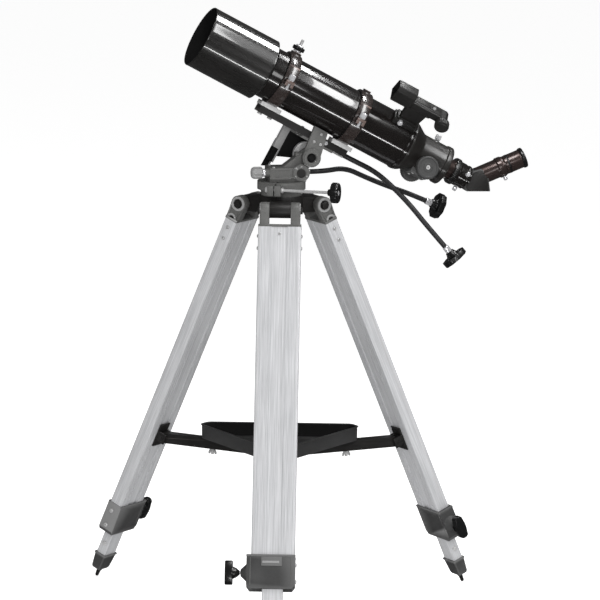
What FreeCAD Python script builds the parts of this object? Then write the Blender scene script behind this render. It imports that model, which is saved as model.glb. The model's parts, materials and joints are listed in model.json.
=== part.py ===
import FreeCAD, Part
import math
import os

from FreeCAD import Placement, Rotation
from FreeCAD import Vector as V

# Refractor telescope on an alt-azimuth mount and a three-leg tripod, all in millimetres.
# Origin: on the floor under the azimuth axis. +Z is up, the front leg points to -Y and the
# tube points to -X and a little to -Y.

# ---------------------------------------------------------------- driving dimensions
FIT = 0.05                    # running clearance of a shaft in its bore
GAP = 0.3                     # clearance between parts that move past each other

PIVOT_Z = 786.0               # tripod: height and radius of the leg pivots
PIVOT_R = 75.0
LEG_TILT = 23.9               # degrees from the vertical
LEG_AZIMUTH = {"front": -90.0, "left": 150.0, "right": 30.0}
LEG_W = 83.3                  # upper leg extrusion, width and thickness
LEG_T = 27.0
LEG_TOP = 36.0                # distances along the leg from its pivot
COLLAR_TOP = 683.0
COLLAR_LEN = 66.0
COLLAR_X = (-42.7, 50.3)      # wider on the side of its clamp screw
SHOE_TOP = 803.0
INNER_W = 40.0                # lower leg tube
INNER_T = 20.4
WALL = 1.6

TRAY_TOP = 338.0
TRAY_H = 29.0
TRAY_INRADIUS = 98.0
TRAY_HALF_SIDE = 141.0

BASE_Z0 = 806.0               # azimuth base and head
BASE_Z1 = 834.0
BASE_R = 47.0
HEAD_YAW = 13.8               # the whole head and tube are turned this far about the azimuth axis
ALT_X = 53.0                  # altitude axle, in the head's own frame
ALT_Z = 880.5
ALTITUDE = 28.3               # elevation of the tube at rest, degrees

TUBE_N = 107.0                # tube axis above the altitude axle, across the tube
TUBE_R = 50.8
DEW_R = 62.0
DEW_S = (-303.0, -161.0)      # stations along the tube, counted rearward from the altitude axle
TUBE_S = (-175.0, 155.0)
RING_S = {"front": -119.0, "rear": 42.0}
RING_W = 24.0
RING_RI = 51.1
RING_RO = 56.0
FOCUS_ROLL = -12.0            # the tube is turned in its rings, degrees about its own axis
FINDER_ROLL = 40.0
DRAW_R = 19.7
DRAW_END = 273.0
BEND_S = 311.0                # where the light path turns inside the diagonal
BEND = 50.0
EYE_BARREL_R = 15.875         # 1.25 inch eyepiece barrel

BAR_N = (31.0, 45.0)          # mounting bar under the rings, across the tube
BAR_S = (-136.0, 61.0)
BAR_HALF = 16.5

AZ_WHEEL_R = 13.0             # worm drives: pitch radii of wheel and worm
AZ_WORM_R = 5.0
AZ_WORM_Z = 847.5
ALT_WHEEL_R = 26.0
ALT_WORM_R = 7.0
ALT_WORM_T = 24.3

CABLE_D = 10.0
# routes of the two flexible cables, in the head's own frame, from worm to hand knob
AZ_ROUTE = [(60, 18, 847.5), (88, 18, 847.5), (136, 43, 850.5), (184, 60, 827), (237, 69, 805),
            (273, 77, 792), (309, 81.5, 776)]
ALT_ROUTE = [(186.5, 6, 848), (217.5, -12, 820.5), (250.5, -26, 785.5), (283, -36, 744.5),
             (318.5, -43.5, 703)]

X = V(1, 0, 0)
Y = V(0, 1, 0)
Z = V(0, 0, 1)

NODES = {}


# ---------------------------------------------------------------- small helpers
def box(x0, x1, y0, y1, z0, z1):
    return Part.makeBox(x1 - x0, y1 - y0, z1 - z0, V(x0, y0, z0))


def rod(r, start, end):
    """Round bar from start to end."""
    a = V(*start)
    b = V(*end)
    return Part.makeCylinder(r, a.distanceToPoint(b), a, b - a)


def taper(r0, r1, start, end):
    a = V(*start)
    b = V(*end)
    return Part.makeCone(r0, r1, a.distanceToPoint(b), a, b - a)


def fuse(*shapes):
    shape = shapes[0].fuse(list(shapes[1:]))
    return shape.removeSplitter()


def cut(shape, *tools):
    return shape.cut(list(tools))


def plate(points, axis, low, high):
    """Prism over a polygon. The two numbers of a point are the two axes left over, in order."""
    place = {"x": lambda p: V(low, p[0], p[1]), "y": lambda p: V(p[0], low, p[1]),
             "z": lambda p: V(p[0], p[1], low)}[axis]
    along = {"x": X, "y": Y, "z": Z}[axis]
    corners = [place(p) for p in points]
    face = Part.Face(Part.makePolygon(corners + corners[:1]))
    return face.extrude(along * (high - low))


def turned(profile):
    """Solid of revolution about X. The profile's points are (station, radius)."""
    corners = [V(s, 0, r) for s, r in profile]
    face = Part.Face(Part.makePolygon(corners + corners[:1]))
    return face.revolve(V(0, 0, 0), X, 360)


def pipe(s0, s1, ro, ri):
    """Plain ring or tube about X."""
    return turned([(s0, ri), (s1, ri), (s1, ro), (s0, ro)])


def rounded_prism(half_x, half_y, radius, z0, z1):
    """Upright prism with a rounded rectangle as its section."""
    solid = box(-half_x, half_x, -half_y, half_y, z0, z1)
    upright = [e for e in solid.Edges if abs(e.tangentAt(e.FirstParameter).z) > 0.99]
    return solid.makeFillet(radius, upright)


def moved(shape, placement):
    copy = shape.copy()
    copy.Placement = placement.multiply(copy.Placement)
    return copy


def keep(name, *shapes):
    NODES[name] = shapes[0] if len(shapes) == 1 else Part.makeCompound(list(shapes))


# ---------------------------------------------------------------- frames
HEAD = Placement(V(0, 0, 0), Rotation(Z, HEAD_YAW))
TILT = HEAD.multiply(Placement(V(ALT_X, 0, ALT_Z), Rotation(Y, ALTITUDE)))


def tube_frame(roll=0.0):
    """Frame on the tube's own axis: X rearward along the tube, Z out of its top."""
    return TILT.multiply(Placement(V(0, 0, TUBE_N), Rotation(X, roll)))


def leg_frame(name, tilted=True):
    """Frame at a leg's pivot: Y points out of its outer face, Z runs up along the leg."""
    azimuth = LEG_AZIMUTH[name]
    out = math.radians(azimuth)
    at = V(PIVOT_R * math.cos(out), PIVOT_R * math.sin(out), PIVOT_Z)
    turn = Rotation(Z, azimuth - 90)
    if tilted:
        turn = turn.multiply(Rotation(X, LEG_TILT))
    return Placement(at, turn)


# ---------------------------------------------------------------- tripod
LUG_HALF = 20.4               # the hub's lugs between the cheeks of the leg heads
CHEEK = (20.8, 37.5)
CHEEK_R = 16.0
BOLT_R = 4.0


def hub():
    body = Part.makeCylinder(42, BASE_Z0 - 770, V(0, 0, 770))
    bores = []
    for name in LEG_AZIMUTH:
        lug = fuse(box(-LUG_HALF, LUG_HALF, -60, 0, -15, 15), rod(15, (-LUG_HALF, 0, 0), (LUG_HALF, 0, 0)))
        body = body.fuse(moved(lug, leg_frame(name, False)))
        bores.append(moved(rod(BOLT_R, (-LUG_HALF - 1, 0, 0), (LUG_HALF + 1, 0, 0)), leg_frame(name, False)))
    body = cut(body.removeSplitter(), Part.makeCylinder(12, 60, V(0, 0, 760)), *bores)
    keep("hub", body)


def leg_head():
    """Casting with two cheeks round the hub's lug and two plugs that go into the extrusion."""
    parts = [box(-LEG_W / 2, LEG_W / 2, -LEG_T / 2, LEG_T / 2, -LEG_TOP, -LEG_TOP + 5)]
    for side in (-1, 1):
        x0, x1 = sorted((side * CHEEK[0], side * CHEEK[1]))
        parts.append(rod(CHEEK_R, (x0, 0, 0), (x1, 0, 0)))
        parts.append(plate([(-CHEEK_R, 0), (CHEEK_R, 0), (LEG_T / 2, -LEG_TOP + 3), (-LEG_T / 2, -LEG_TOP + 3)],
                           "x", x0, x1))
        p0, p1 = sorted((side * 22.0, side * 39.7))
        parts.append(box(p0, p1, -11.7, 11.7, -LEG_TOP - 20, -LEG_TOP))
    return cut(fuse(*parts), rod(BOLT_R, (-50, 0, 0), (50, 0, 0)))


def leg_bolt():
    """Pivot bolt with its head and nut, as one turned piece."""
    end = CHEEK[1]
    shank = rod(BOLT_R, (-end - 5, 0, 0), (end + 5, 0, 0))
    heads = [rod(8.5, (s * end, 0, 0), (s * (end + 6), 0, 0)) for s in (-1, 1)]
    return fuse(shank, *heads)


def upper_leg():
    """Aluminium extrusion: a middle channel for the lower leg between two side chambers."""
    z0 = -COLLAR_TOP - 42
    z1 = -LEG_TOP
    solid = rounded_prism(LEG_W / 2, LEG_T / 2, 3, z0, z1)
    panel = 15.5
    deep = 1.9
    recesses = [box(-panel, panel, LEG_T / 2 - deep, LEG_T, z0, z1),
                box(-panel, panel, -LEG_T, -LEG_T / 2 + deep, z0, z1)]
    middle = box(-INNER_W / 2 - GAP, INNER_W / 2 + GAP, -INNER_T / 2 - GAP / 2, INNER_T / 2 + GAP / 2, z0, z1)
    inner = INNER_W / 2 + GAP + WALL
    outer = LEG_W / 2 - WALL
    sides = [box(inner, outer, -LEG_T / 2 + WALL, LEG_T / 2 - WALL, z0, z1),
             box(-outer, -inner, -LEG_T / 2 + WALL, LEG_T / 2 - WALL, z0, z1)]
    return cut(solid, middle, *recesses, *sides)


KNOB_Z = -COLLAR_TOP - 33
WING_X = (76.0, 91.5)         # the clamp knob's wings, from the leg's middle line
WING_LONG = 23.7
WING_WIDE = 8.5


def leg_collar():
    """Lock casting over the extrusion's lower end, with the boss of its clamp screw."""
    top = -COLLAR_TOP
    low = top - COLLAR_LEN
    x0, x1 = COLLAR_X
    body = plate([(x0, top), (x1, top), (x1, low + 8), (x1 - 6, low), (x0 + 6, low), (x0, low + 8)],
                 "y", -15.7, 15.7)
    boss = taper(17, 6.5, (x1 - 0.1, 0, KNOB_Z), (x1 + 11, 0, KNOB_Z))
    pocket = box(-LEG_W / 2, LEG_W / 2, -LEG_T / 2, LEG_T / 2, top - 42, top)
    mouth = box(-INNER_W / 2 - GAP, INNER_W / 2 + GAP, -INNER_T / 2 - GAP, INNER_T / 2 + GAP, low, top)
    screw = rod(3.3, (44, 0, KNOB_Z), (x1 + 12, 0, KNOB_Z))
    return cut(fuse(body, boss), pocket, mouth, screw)


def leg_knob():
    """Clamp screw with its two-winged hand knob."""
    screw = rod(3, (45, 0, KNOB_Z), (68, 0, KNOB_Z))
    neck = taper(3.5, 9, (63, 0, KNOB_Z), (69, 0, KNOB_Z))
    cone = taper(9, 12.5, (69, 0, KNOB_Z), (80, 0, KNOB_Z))
    across = Placement(V(0, 0, KNOB_Z), Rotation(Y, 90))
    wings = moved(rounded_prism(WING_LONG, WING_WIDE, 5, *WING_X), across)
    return fuse(screw, neck, cone, wings)


def lower_leg():
    z0 = -SHOE_TOP - 12
    z1 = -LEG_TOP - 26
    tube = rounded_prism(INNER_W / 2, INNER_T / 2, 2, z0, z1)
    bore = rounded_prism(INNER_W / 2 - WALL, INNER_T / 2 - WALL, 1, z0, z1)
    return cut(tube, bore)


TIP_R = 3.5                   # rounded end of the foot's spike


def leg_length():
    """Distance from the pivot to the centre of the spike's rounded end."""
    return (PIVOT_Z - TIP_R) / math.cos(math.radians(LEG_TILT))


def foot():
    """Plastic shoe with a plug in the tube and a steel spike that ends in a ball."""
    low = -SHOE_TOP - 35
    shoe = Part.makeLoft([Part.makePolygon([V(x, y, z) for x, y in ((-a, -b), (a, -b), (a, b), (-a, b), (-a, -b))])
                          for a, b, z in ((22, 12.5, -SHOE_TOP), (18.5, 10, low))], True, True)
    seat = rounded_prism(INNER_W / 2, INNER_T / 2, 2, -SHOE_TOP - 12, -SHOE_TOP + 1)
    plug = rounded_prism(INNER_W / 2 - WALL, INNER_T / 2 - WALL, 1, -SHOE_TOP - 12, -SHOE_TOP + 14)
    tip = V(0, 0, -leg_length())
    spike = taper(6, TIP_R, (0, 0, low + 2), tuple(tip))
    return fuse(cut(shoe, seat), plug, spike, Part.makeSphere(TIP_R, tip))


HINGE_Y = -26.0               # tray arm hinge, in the leg's frame
HINGE_Z = -521.0
ARM_HALF = 12.0
ARM_H = 20.0


def tray_bracket():
    back = box(-17, 17, -LEG_T / 2 - 3, -LEG_T / 2, HINGE_Z - 24, HINGE_Z + 24)
    ears = [box(*sorted((s * ARM_HALF + s * 0.2, s * 16)), HINGE_Y - 9, -LEG_T / 2 - 2, HINGE_Z - 10, HINGE_Z + 10)
            for s in (-1, 1)]
    pin = rod(2.5, (-18, HINGE_Y, HINGE_Z), (18, HINGE_Y, HINGE_Z))
    return fuse(back, *ears, pin)


def hinge_place():
    """Radius and height of the tray arm's hinge."""
    tilt = math.radians(LEG_TILT)
    radius = PIVOT_R + HINGE_Y * math.cos(tilt) - HINGE_Z * math.sin(tilt)
    height = PIVOT_Z + HINGE_Y * math.sin(tilt) + HINGE_Z * math.cos(tilt)
    return radius, height


TRAY_BOLT_R = 152.0


def tray_arm():
    """Channel from a leg's bracket to under the tray; Y is outward."""
    radius, height = hinge_place()
    top = TRAY_TOP - TRAY_H
    arm = box(-ARM_HALF, ARM_HALF, 62, radius + 5, top - ARM_H, top)
    hollow = box(-ARM_HALF + 2, ARM_HALF - 2, 0, radius + 20, top - ARM_H - 1, top - 2)
    pin = rod(2.5, (-20, radius, height), (20, radius, height))
    bolt = rod(3, (0, TRAY_BOLT_R, top - 5), (0, TRAY_BOLT_R, top + 5))
    return cut(arm, hollow, pin, bolt)


def tray_bolt():
    """Countersunk screw, flush with the tray's floor, and its nut."""
    top = TRAY_TOP - TRAY_H
    head = taper(3, 6, (0, TRAY_BOLT_R, top), (0, TRAY_BOLT_R, top + 2))
    shank = rod(3, (0, TRAY_BOLT_R, top - 16), (0, TRAY_BOLT_R, top))
    nut = rod(5, (0, TRAY_BOLT_R, top - 9), (0, TRAY_BOLT_R, top - 2))
    return fuse(head, shank, nut)


def outward(name):
    """Frame on the azimuth axis with Y outward over a leg, floor at Z = 0."""
    return Placement(V(0, 0, 0), Rotation(Z, LEG_AZIMUTH[name] - 90))


def tray_outline(inset):
    """Triangle with cut corners; the corners point at the legs."""
    points = []
    for k in range(3):
        turn = math.radians(-120 * k)
        for end in (-1, 1):
            half = TRAY_HALF_SIDE - inset * 0.73
            x, y = end * half, TRAY_INRADIUS - inset
            points.append((x * math.cos(turn) - y * math.sin(turn), x * math.sin(turn) + y * math.cos(turn)))
    return points


def accessory_tray():
    low = TRAY_TOP - TRAY_H
    tray = plate(tray_outline(0), "z", low, TRAY_TOP)
    inside = plate(tray_outline(2.5), "z", low + 2, TRAY_TOP + 1)
    sink = taper(3 + FIT, 6 + FIT, (0, TRAY_BOLT_R, low), (0, TRAY_BOLT_R, low + 2))
    holes = [moved(sink, outward(n)) for n in LEG_AZIMUTH]
    keep("accessory_tray", cut(tray, inside, *holes))


def tripod():
    hub()
    for name in LEG_AZIMUTH:
        at = leg_frame(name)
        keep("upper_leg_" + name, moved(upper_leg(), at))
        keep("lower_leg_" + name, moved(lower_leg(), at))
        keep("foot_" + name, moved(foot(), at))
        keep("leg_knob_" + name, moved(leg_knob(), at))
    for node, maker in (("leg_heads", leg_head), ("leg_bolts", leg_bolt), ("leg_collars", leg_collar),
                        ("tray_brackets", tray_bracket)):
        piece = maker()
        keep(node, *[moved(piece, leg_frame(n)) for n in LEG_AZIMUTH])
    keep("tray_arms", *[moved(tray_arm(), outward(n)) for n in LEG_AZIMUTH])
    keep("tray_bolts", *[moved(tray_bolt(), outward(n)) for n in LEG_AZIMUTH])
    accessory_tray()


# ---------------------------------------------------------------- azimuth base and clamp
DRUM_R = 20.0
POST_R = 8.0
CLAMP_AZIMUTH = -102.7
CLAMP_R = 53.0
CLAMP_Z = 822.0


def clamp_frame():
    """Frame at the split ears of the base: X along the clamp screw, Y outward."""
    out = math.radians(CLAMP_AZIMUTH)
    return Placement(V(CLAMP_R * math.cos(out), CLAMP_R * math.sin(out), CLAMP_Z), Rotation(Z, CLAMP_AZIMUTH + 90))


def azimuth_base():
    flange = Part.makeCylinder(BASE_R, BASE_Z1 - 818, V(0, 0, 818))
    lower = Part.makeCylinder(40, 12, V(0, 0, BASE_Z0))
    ears = moved(box(-13, 13, -9, 12, -11, 9), clamp_frame())
    slit = moved(box(-1.2, 1.2, -12, 40, -12, 14), clamp_frame())
    bore = Part.makeCylinder(DRUM_R + FIT, 40, V(0, 0, BASE_Z0 + 4))
    screw = moved(rod(3.1, (-20, 0, 0), (20, 0, 0)), clamp_frame())
    keep("azimuth_base", cut(fuse(flange, lower, ears), bore, slit, screw))


CLAMP_ROD_END = 124.0


def azimuth_clamp():
    at = clamp_frame()
    keep("azimuth_clamp_rod", moved(rod(3.0, (-15, 0, 0), (CLAMP_ROD_END, 0, 0)), at))
    start = CLAMP_ROD_END - 12
    knob = fuse(taper(18, 20, (start, 0, 0), (start + 4, 0, 0)), rod(20, (start + 4, 0, 0), (start + 13, 0, 0)),
                taper(20, 18, (start + 13, 0, 0), (start + 17, 0, 0)))
    keep("azimuth_clamp_knob", moved(cut(knob, rod(3.0, (0, 0, 0), (CLAMP_ROD_END, 0, 0))), at))


def azimuth_wheel():
    """Drum held in the base, with the post and worm wheel that the head turns about."""
    drum = Part.makeCylinder(DRUM_R, BASE_Z1 - BASE_Z0 - 5, V(0, 0, BASE_Z0 + 5))
    post = Part.makeCylinder(POST_R, 852 - BASE_Z1 + 1, V(0, 0, BASE_Z1 - 1))
    wheel = Part.makeCylinder(AZ_WHEEL_R - 0.2, 9, V(0, 0, 843))
    keep("azimuth_wheel", fuse(drum, post, wheel))


# ---------------------------------------------------------------- head
HEAD_Z0 = BASE_Z1 + 0.5
HEAD_Z1 = 861.5
BLADE_HALF = 12.0
AXLE_R = 5.0
AZ_WORM_Y = AZ_WHEEL_R + AZ_WORM_R


def azimuth_head():
    block = box(-28, 44, -25, 25, HEAD_Z0, HEAD_Z1)
    cap = rod(17, (33, -28, 851), (33, -24, 851))
    blade = plate([(-4, HEAD_Z1 - 3), (44, HEAD_Z1 - 10), (66.5, 873), (44, 894)], "y", -BLADE_HALF, BLADE_HALF)
    eye = rod(16, (ALT_X, -BLADE_HALF, ALT_Z), (ALT_X, BLADE_HALF, ALT_Z))
    boss = rod(8, (-36, -16, 852), (-28, -16, 852))
    stub = rod(8.5, (ALT_X - 27, 0, ALT_Z + 1), (ALT_X - 8, 0, ALT_Z + 1))
    bearing = Part.makeCylinder(POST_R + FIT, 20, V(0, 0, HEAD_Z0 - 1))
    cavity = Part.makeCylinder(AZ_WHEEL_R + 0.4, 11, V(0, 0, 842))
    tunnel = rod(AZ_WORM_R + 0.4, (-18, AZ_WORM_Y, AZ_WORM_Z), (35, AZ_WORM_Y, AZ_WORM_Z))
    outlet = rod(3 + FIT, (-25, AZ_WORM_Y, AZ_WORM_Z), (50, AZ_WORM_Y, AZ_WORM_Z))
    axle = rod(AXLE_R + FIT, (ALT_X, -20, ALT_Z), (ALT_X, 20, ALT_Z))
    lock = rod(3.1, (-40, -16, 852), (-20, -16, 852))
    room = rod(ALT_WHEEL_R + 0.4, (ALT_X, BLADE_HALF, ALT_Z), (ALT_X, 40, ALT_Z))
    body = cut(fuse(block, cap, blade, eye, boss, stub), bearing, cavity, tunnel, outlet, axle, lock, room)
    keep("azimuth_head", moved(body, HEAD))


def azimuth_worm():
    start, end = -16, 44 + GAP
    worm = rod(AZ_WORM_R - 0.2, (start, AZ_WORM_Y, AZ_WORM_Z), (33, AZ_WORM_Y, AZ_WORM_Z))
    shaft = rod(3, (-24, AZ_WORM_Y, AZ_WORM_Z), (50, AZ_WORM_Y, AZ_WORM_Z))
    coupling = rod(4.5, (end, AZ_WORM_Y, AZ_WORM_Z), AZ_ROUTE[0])
    keep("azimuth_worm", moved(fuse(worm, shaft, coupling), HEAD))


def altitude_lock():
    """Hand knob that locks the altitude, on the front of the head."""
    screw = rod(3, (-58, -16, 852), (-21, -16, 852))
    bushing = rod(8, (-42, -16, 852), (-36 - GAP, -16, 852))
    grip = fuse(rod(12, (-61, -16, 852), (-42, -16, 852)), taper(12, 9, (-61, -16, 852), (-64, -16, 852)))
    keep("altitude_lock_knob", moved(fuse(screw, bushing, grip), HEAD))


def altitude_wheel():
    """Worm wheel of the altitude drive on the far side of the blade."""
    at = (ALT_X, ALT_Z)
    hub_part = rod(11, (at[0], BLADE_HALF + GAP, at[1]), (at[0], CHEEK_FAR[0] - GAP, at[1]))
    wheel = rod(ALT_WHEEL_R - 0.2, (at[0], ALT_WORM_T - 5.5, at[1]), (at[0], ALT_WORM_T + 5.5, at[1]))
    bore = rod(AXLE_R, (at[0], 0, at[1]), (at[0], 60, at[1]))
    keep("altitude_wheel", moved(cut(fuse(hub_part, wheel), bore), HEAD))


def altitude_axle():
    shank = rod(AXLE_R, (ALT_X, -30, ALT_Z), (ALT_X, CHEEK_FAR[1] + 4, ALT_Z))
    washer = rod(10, (ALT_X, -17 + GAP, ALT_Z), (ALT_X, -BLADE_HALF - GAP, ALT_Z))
    head = rod(8.5, (ALT_X, -31, ALT_Z), (ALT_X, -27.3, ALT_Z))
    nut = rod(9, (ALT_X, CHEEK_FAR[1] + GAP, ALT_Z), (ALT_X, CHEEK_FAR[1] + 7, ALT_Z))
    keep("altitude_axle", moved(fuse(shank, washer, head, nut), HEAD))


# ---------------------------------------------------------------- saddle
WORM_N = ALT_WHEEL_R + ALT_WORM_R
CHEEK_NEAR = (-25.0, -17.0)
CHEEK_FAR = (34.0, 42.0)
ARM_S = (-62.0, -48.0)        # long arm on the far side
ARM_T = 48.0
WORM_END = 58.0


def saddle():
    """Casting that carries the mounting bar; in the tilted frame X is rearward and Z is up."""
    near = fuse(plate([(-24, 58), (6, 58), (17, 5), (-17.5, 4)], "y", *CHEEK_NEAR),
                rod(18, (0, CHEEK_NEAR[0] - 6, 0), (0, CHEEK_NEAR[1], 0)))
    far = fuse(plate([(-50, 44), (32, 44), (16, 5), (-10, -15), (-50, -30)], "y", *CHEEK_FAR),
               rod(17, (0, CHEEK_FAR[0], 0), (0, CHEEK_FAR[1], 0)))
    floor = box(-34, 34, CHEEK_NEAR[1] - 1, BLADE_HALF, 26, BAR_N[0])
    blocks = [box(*span, BLADE_HALF - 1, CHEEK_FAR[1], 26, 44) for span in ((-36, -26), (26, 36))]
    blocks = [cut(b, box(-60, 60, -40, 17, BAR_N[0], 60)) for b in blocks]
    arm = box(*ARM_S, CHEEK_FAR[0], ARM_T, -44, 44)
    tip = plate([(ARM_S[0], -60), (ARM_S[1], -53), (ARM_S[1], 0), (ARM_S[0], 0)], "y", ARM_T - 0.5, ARM_T + 4.5)
    web = box(ARM_S[1] - 2, -24, CHEEK_FAR[0], ARM_T, 30, 44)
    shape = fuse(near, far, floor, *blocks, arm, tip, web)
    axle = rod(AXLE_R + FIT, (0, -40, 0), (0, 60, 0))
    recess = rod(9.5, (0, -40, 0), (0, -27, 0))
    shaft = rod(4 + FIT, (-60, ALT_WORM_T, WORM_N), (60, ALT_WORM_T, WORM_N))
    trough = box(ARM_S[0] + 4, ARM_S[1] - 4, CHEEK_FAR[0] - 1, CHEEK_FAR[0] + 10, -46, 38)
    keep("saddle", moved(cut(shape, axle, recess, shaft, trough), TILT))


def altitude_worm():
    worm = rod(ALT_WORM_R - 0.2, (-25.5, ALT_WORM_T, WORM_N), (25.5, ALT_WORM_T, WORM_N))
    shaft = rod(4, (-38, ALT_WORM_T, WORM_N), (WORM_END, ALT_WORM_T, WORM_N))
    coupling = rod(6, (44, ALT_WORM_T, WORM_N), (WORM_END, ALT_WORM_T, WORM_N))
    keep("altitude_worm", moved(fuse(worm, shaft, coupling), TILT))


def mounting_bar():
    bar = box(*BAR_S, -BAR_HALF, BAR_HALF, *BAR_N)
    holes = []
    for station in RING_S.values():
        for offset in (-8, 14):
            holes.append(rod(3.1, (station + offset, 0, BAR_N[0] - 1), (station + offset, 0, BAR_N[1] + 1)))
    keep("mounting_bar", moved(cut(bar, *holes), TILT))


# ---------------------------------------------------------------- tube rings
HINGE_T = 60.0
KNUCKLE_R = 4.5
LOBE_T = 63.0


def ring_lower(station):
    """Lower half of a ring, with the hinge knuckles and a slotted lobe the clamp screw swings out of."""
    s0, s1 = station - RING_W / 2, station + RING_W / 2
    half = cut(pipe(s0, s1, RING_RO, RING_RI), box(s0 - 1, s1 + 1, -80, 80, -0.15, 80))
    half = cut(half, rod(KNUCKLE_R + GAP, (station - 4.3, HINGE_T, 0), (station + 4.3, HINGE_T, 0)))
    inner = rod(RING_RI + 1, (s0, 0, 0), (s1, 0, 0))
    lobe = cut(box(station - 9, station + 9, -70, -53, -6, -0.15), inner)
    knuckles = []
    for a, b in ((s0, station - 4.3), (station + 4.3, s1)):
        knuckles.append(rod(KNUCKLE_R, (a, HINGE_T, 0), (b, HINGE_T, 0)))
        knuckles.append(cut(box(a, b, 53, HINGE_T, -KNUCKLE_R, -0.15), inner))
    pin = rod(2, (s0, HINGE_T, 0), (s1, HINGE_T, 0))
    slot = fuse(rod(3.3, (station, -LOBE_T, -10), (station, -LOBE_T, 10)),
                box(station - 3.3, station + 3.3, -80, -LOBE_T, -10, 10))
    return cut(fuse(half, lobe, *knuckles, pin), slot)


def ring_upper(station, pad_half, stud):
    s0, s1 = station - RING_W / 2, station + RING_W / 2
    half = cut(pipe(s0, s1, RING_RO, RING_RI), box(s0 - 1, s1 + 1, -80, 80, -80, 0.15))
    ends = [rod(KNUCKLE_R + GAP, (a, HINGE_T, 0), (b, HINGE_T, 0))
            for a, b in ((s0, station - 4), (station + 4, s1))]
    half = cut(half, *ends)
    inner = rod(RING_RI + 1, (s0, 0, 0), (s1, 0, 0))
    lobe = cut(box(station - 9, station + 9, -70, -53, 0.15, 6), inner)
    knuckle = rod(KNUCKLE_R, (station - 4, HINGE_T, 0), (station + 4, HINGE_T, 0))
    web = cut(box(station - 4, station + 4, 53, HINGE_T, 0.15, KNUCKLE_R), inner)
    pad = cut(box(station - pad_half, station + pad_half, -9, 9, 50, 60), inner)
    tools = [rod(3.3, (station, -LOBE_T, -10), (station, -LOBE_T, 10)),
             rod(2 + FIT, (s0, HINGE_T, 0), (s1, HINGE_T, 0))]
    if stud:
        tools.append(rod(3.3, (station, 0, 52), (station, 0, 61)))
    return cut(fuse(half, lobe, knuckle, web, pad), *tools)


def ring_screw(station):
    shank = rod(3, (station, -LOBE_T, -13), (station, -LOBE_T, 8))
    head = rod(6.5, (station, -LOBE_T, 6 + GAP), (station, -LOBE_T, 19))
    return fuse(shank, head)


def ring_foot(station):
    """Silver block between a ring and the bar, hollowed to the ring's outside."""
    block = box(station - 19, station + 25, -BAR_HALF, BAR_HALF, BAR_N[1] - TUBE_N, -45)
    ring = rod(RING_RO, (station - 40, 0, 0), (station + 40, 0, 0))
    holes = [rod(3.1, (station + o, 0, -63), (station + o, 0, -50)) for o in (-8, 14)]
    return cut(block, ring, *holes)


STUD_R = 3.175                # 1/4 inch camera thread
STUD_TOP = 87.0


def camera_screw():
    """Camera stud with its black hand wheel, on the front ring."""
    s = RING_S["front"]
    stud = rod(STUD_R, (s, 0, 53), (s, 0, STUD_TOP))
    washer = rod(8, (s, 0, 60 + GAP), (s, 0, 64))
    wheel = rod(12.5, (s, 0, 64), (s, 0, 72))
    top = rod(8, (s, 0, 72), (s, 0, 75))
    keep("camera_screw", moved(fuse(stud, washer, wheel, top), tube_frame()))


def rings():
    at = tube_frame()
    for name, station in RING_S.items():
        front = name == "front"
        keep("ring_lower_" + name, moved(ring_lower(station), at))
        keep("ring_upper_" + name, moved(ring_upper(station, 9 if front else 6, front), at))
        keep("ring_screw_" + name, moved(ring_screw(station), at))
    keep("ring_feet", *[moved(ring_foot(s), at) for s in RING_S.values()])
    camera_screw()


# ---------------------------------------------------------------- optical tube
LENS_R = 51.0
LENS_S = -197.0


def ball(pole, sag):
    """Sphere whose cap between the lens rim and its pole has this sag; the pole is at station pole."""
    radius = (LENS_R ** 2 + sag ** 2) / (2 * abs(sag))
    centre = pole + math.copysign(radius, sag)
    return Part.makeSphere(radius, V(centre, 0, 0), X, -90, 90, 360)


def optics_glass():
    """Crown and flint of the objective with a thin air gap, convex to the front."""
    blank = rod(LENS_R, (LENS_S - 5, 0, 0), (LENS_S + 8.5, 0, 0))
    crown = blank.common(ball(LENS_S - 5, 5.0)).common(ball(LENS_S + 8.5, -5.0))
    blank = rod(LENS_R, (LENS_S + 4, 0, 0), (LENS_S + 14, 0, 0))
    flint = cut(blank, ball(LENS_S + 9, -5.0))
    return crown, flint


def optics():
    at = tube_frame()
    keep("objective_lenses", *[moved(glass, at) for glass in optics_glass()])
    cell = turned([(-203, LENS_R + 0.2), (-182, LENS_R + 0.2), (-182, 49), (TUBE_S[0], 49), (TUBE_S[0], TUBE_R),
                   (DEW_S[1], TUBE_R), (DEW_S[1], 55), (-166, 59.6), (-203, 59.6)])
    keep("lens_cell", moved(cell, at))
    keep("tube", moved(pipe(*TUBE_S, TUBE_R, 49.0), at))
    shield = turned([(DEW_S[0], 60.6), (DEW_S[0] + 3, 60), (DEW_S[1], 60), (DEW_S[1], DEW_R - 0.6),
                     (DEW_S[1] - 2, DEW_R), (DEW_S[0] + 1.2, DEW_R), (DEW_S[0], DEW_R - 0.6)])
    keep("dew_shield", moved(shield, at))


SHAFT_S = 208.0
PINION_R = 5.8
SHAFT_DOWN = -DRAW_R - 2.5 - PINION_R
FOCUS_KNOB_R = 23.0
FOCUS_KNOB_T = (38.0, 53.0)
LOCK_S = 216.0


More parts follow.
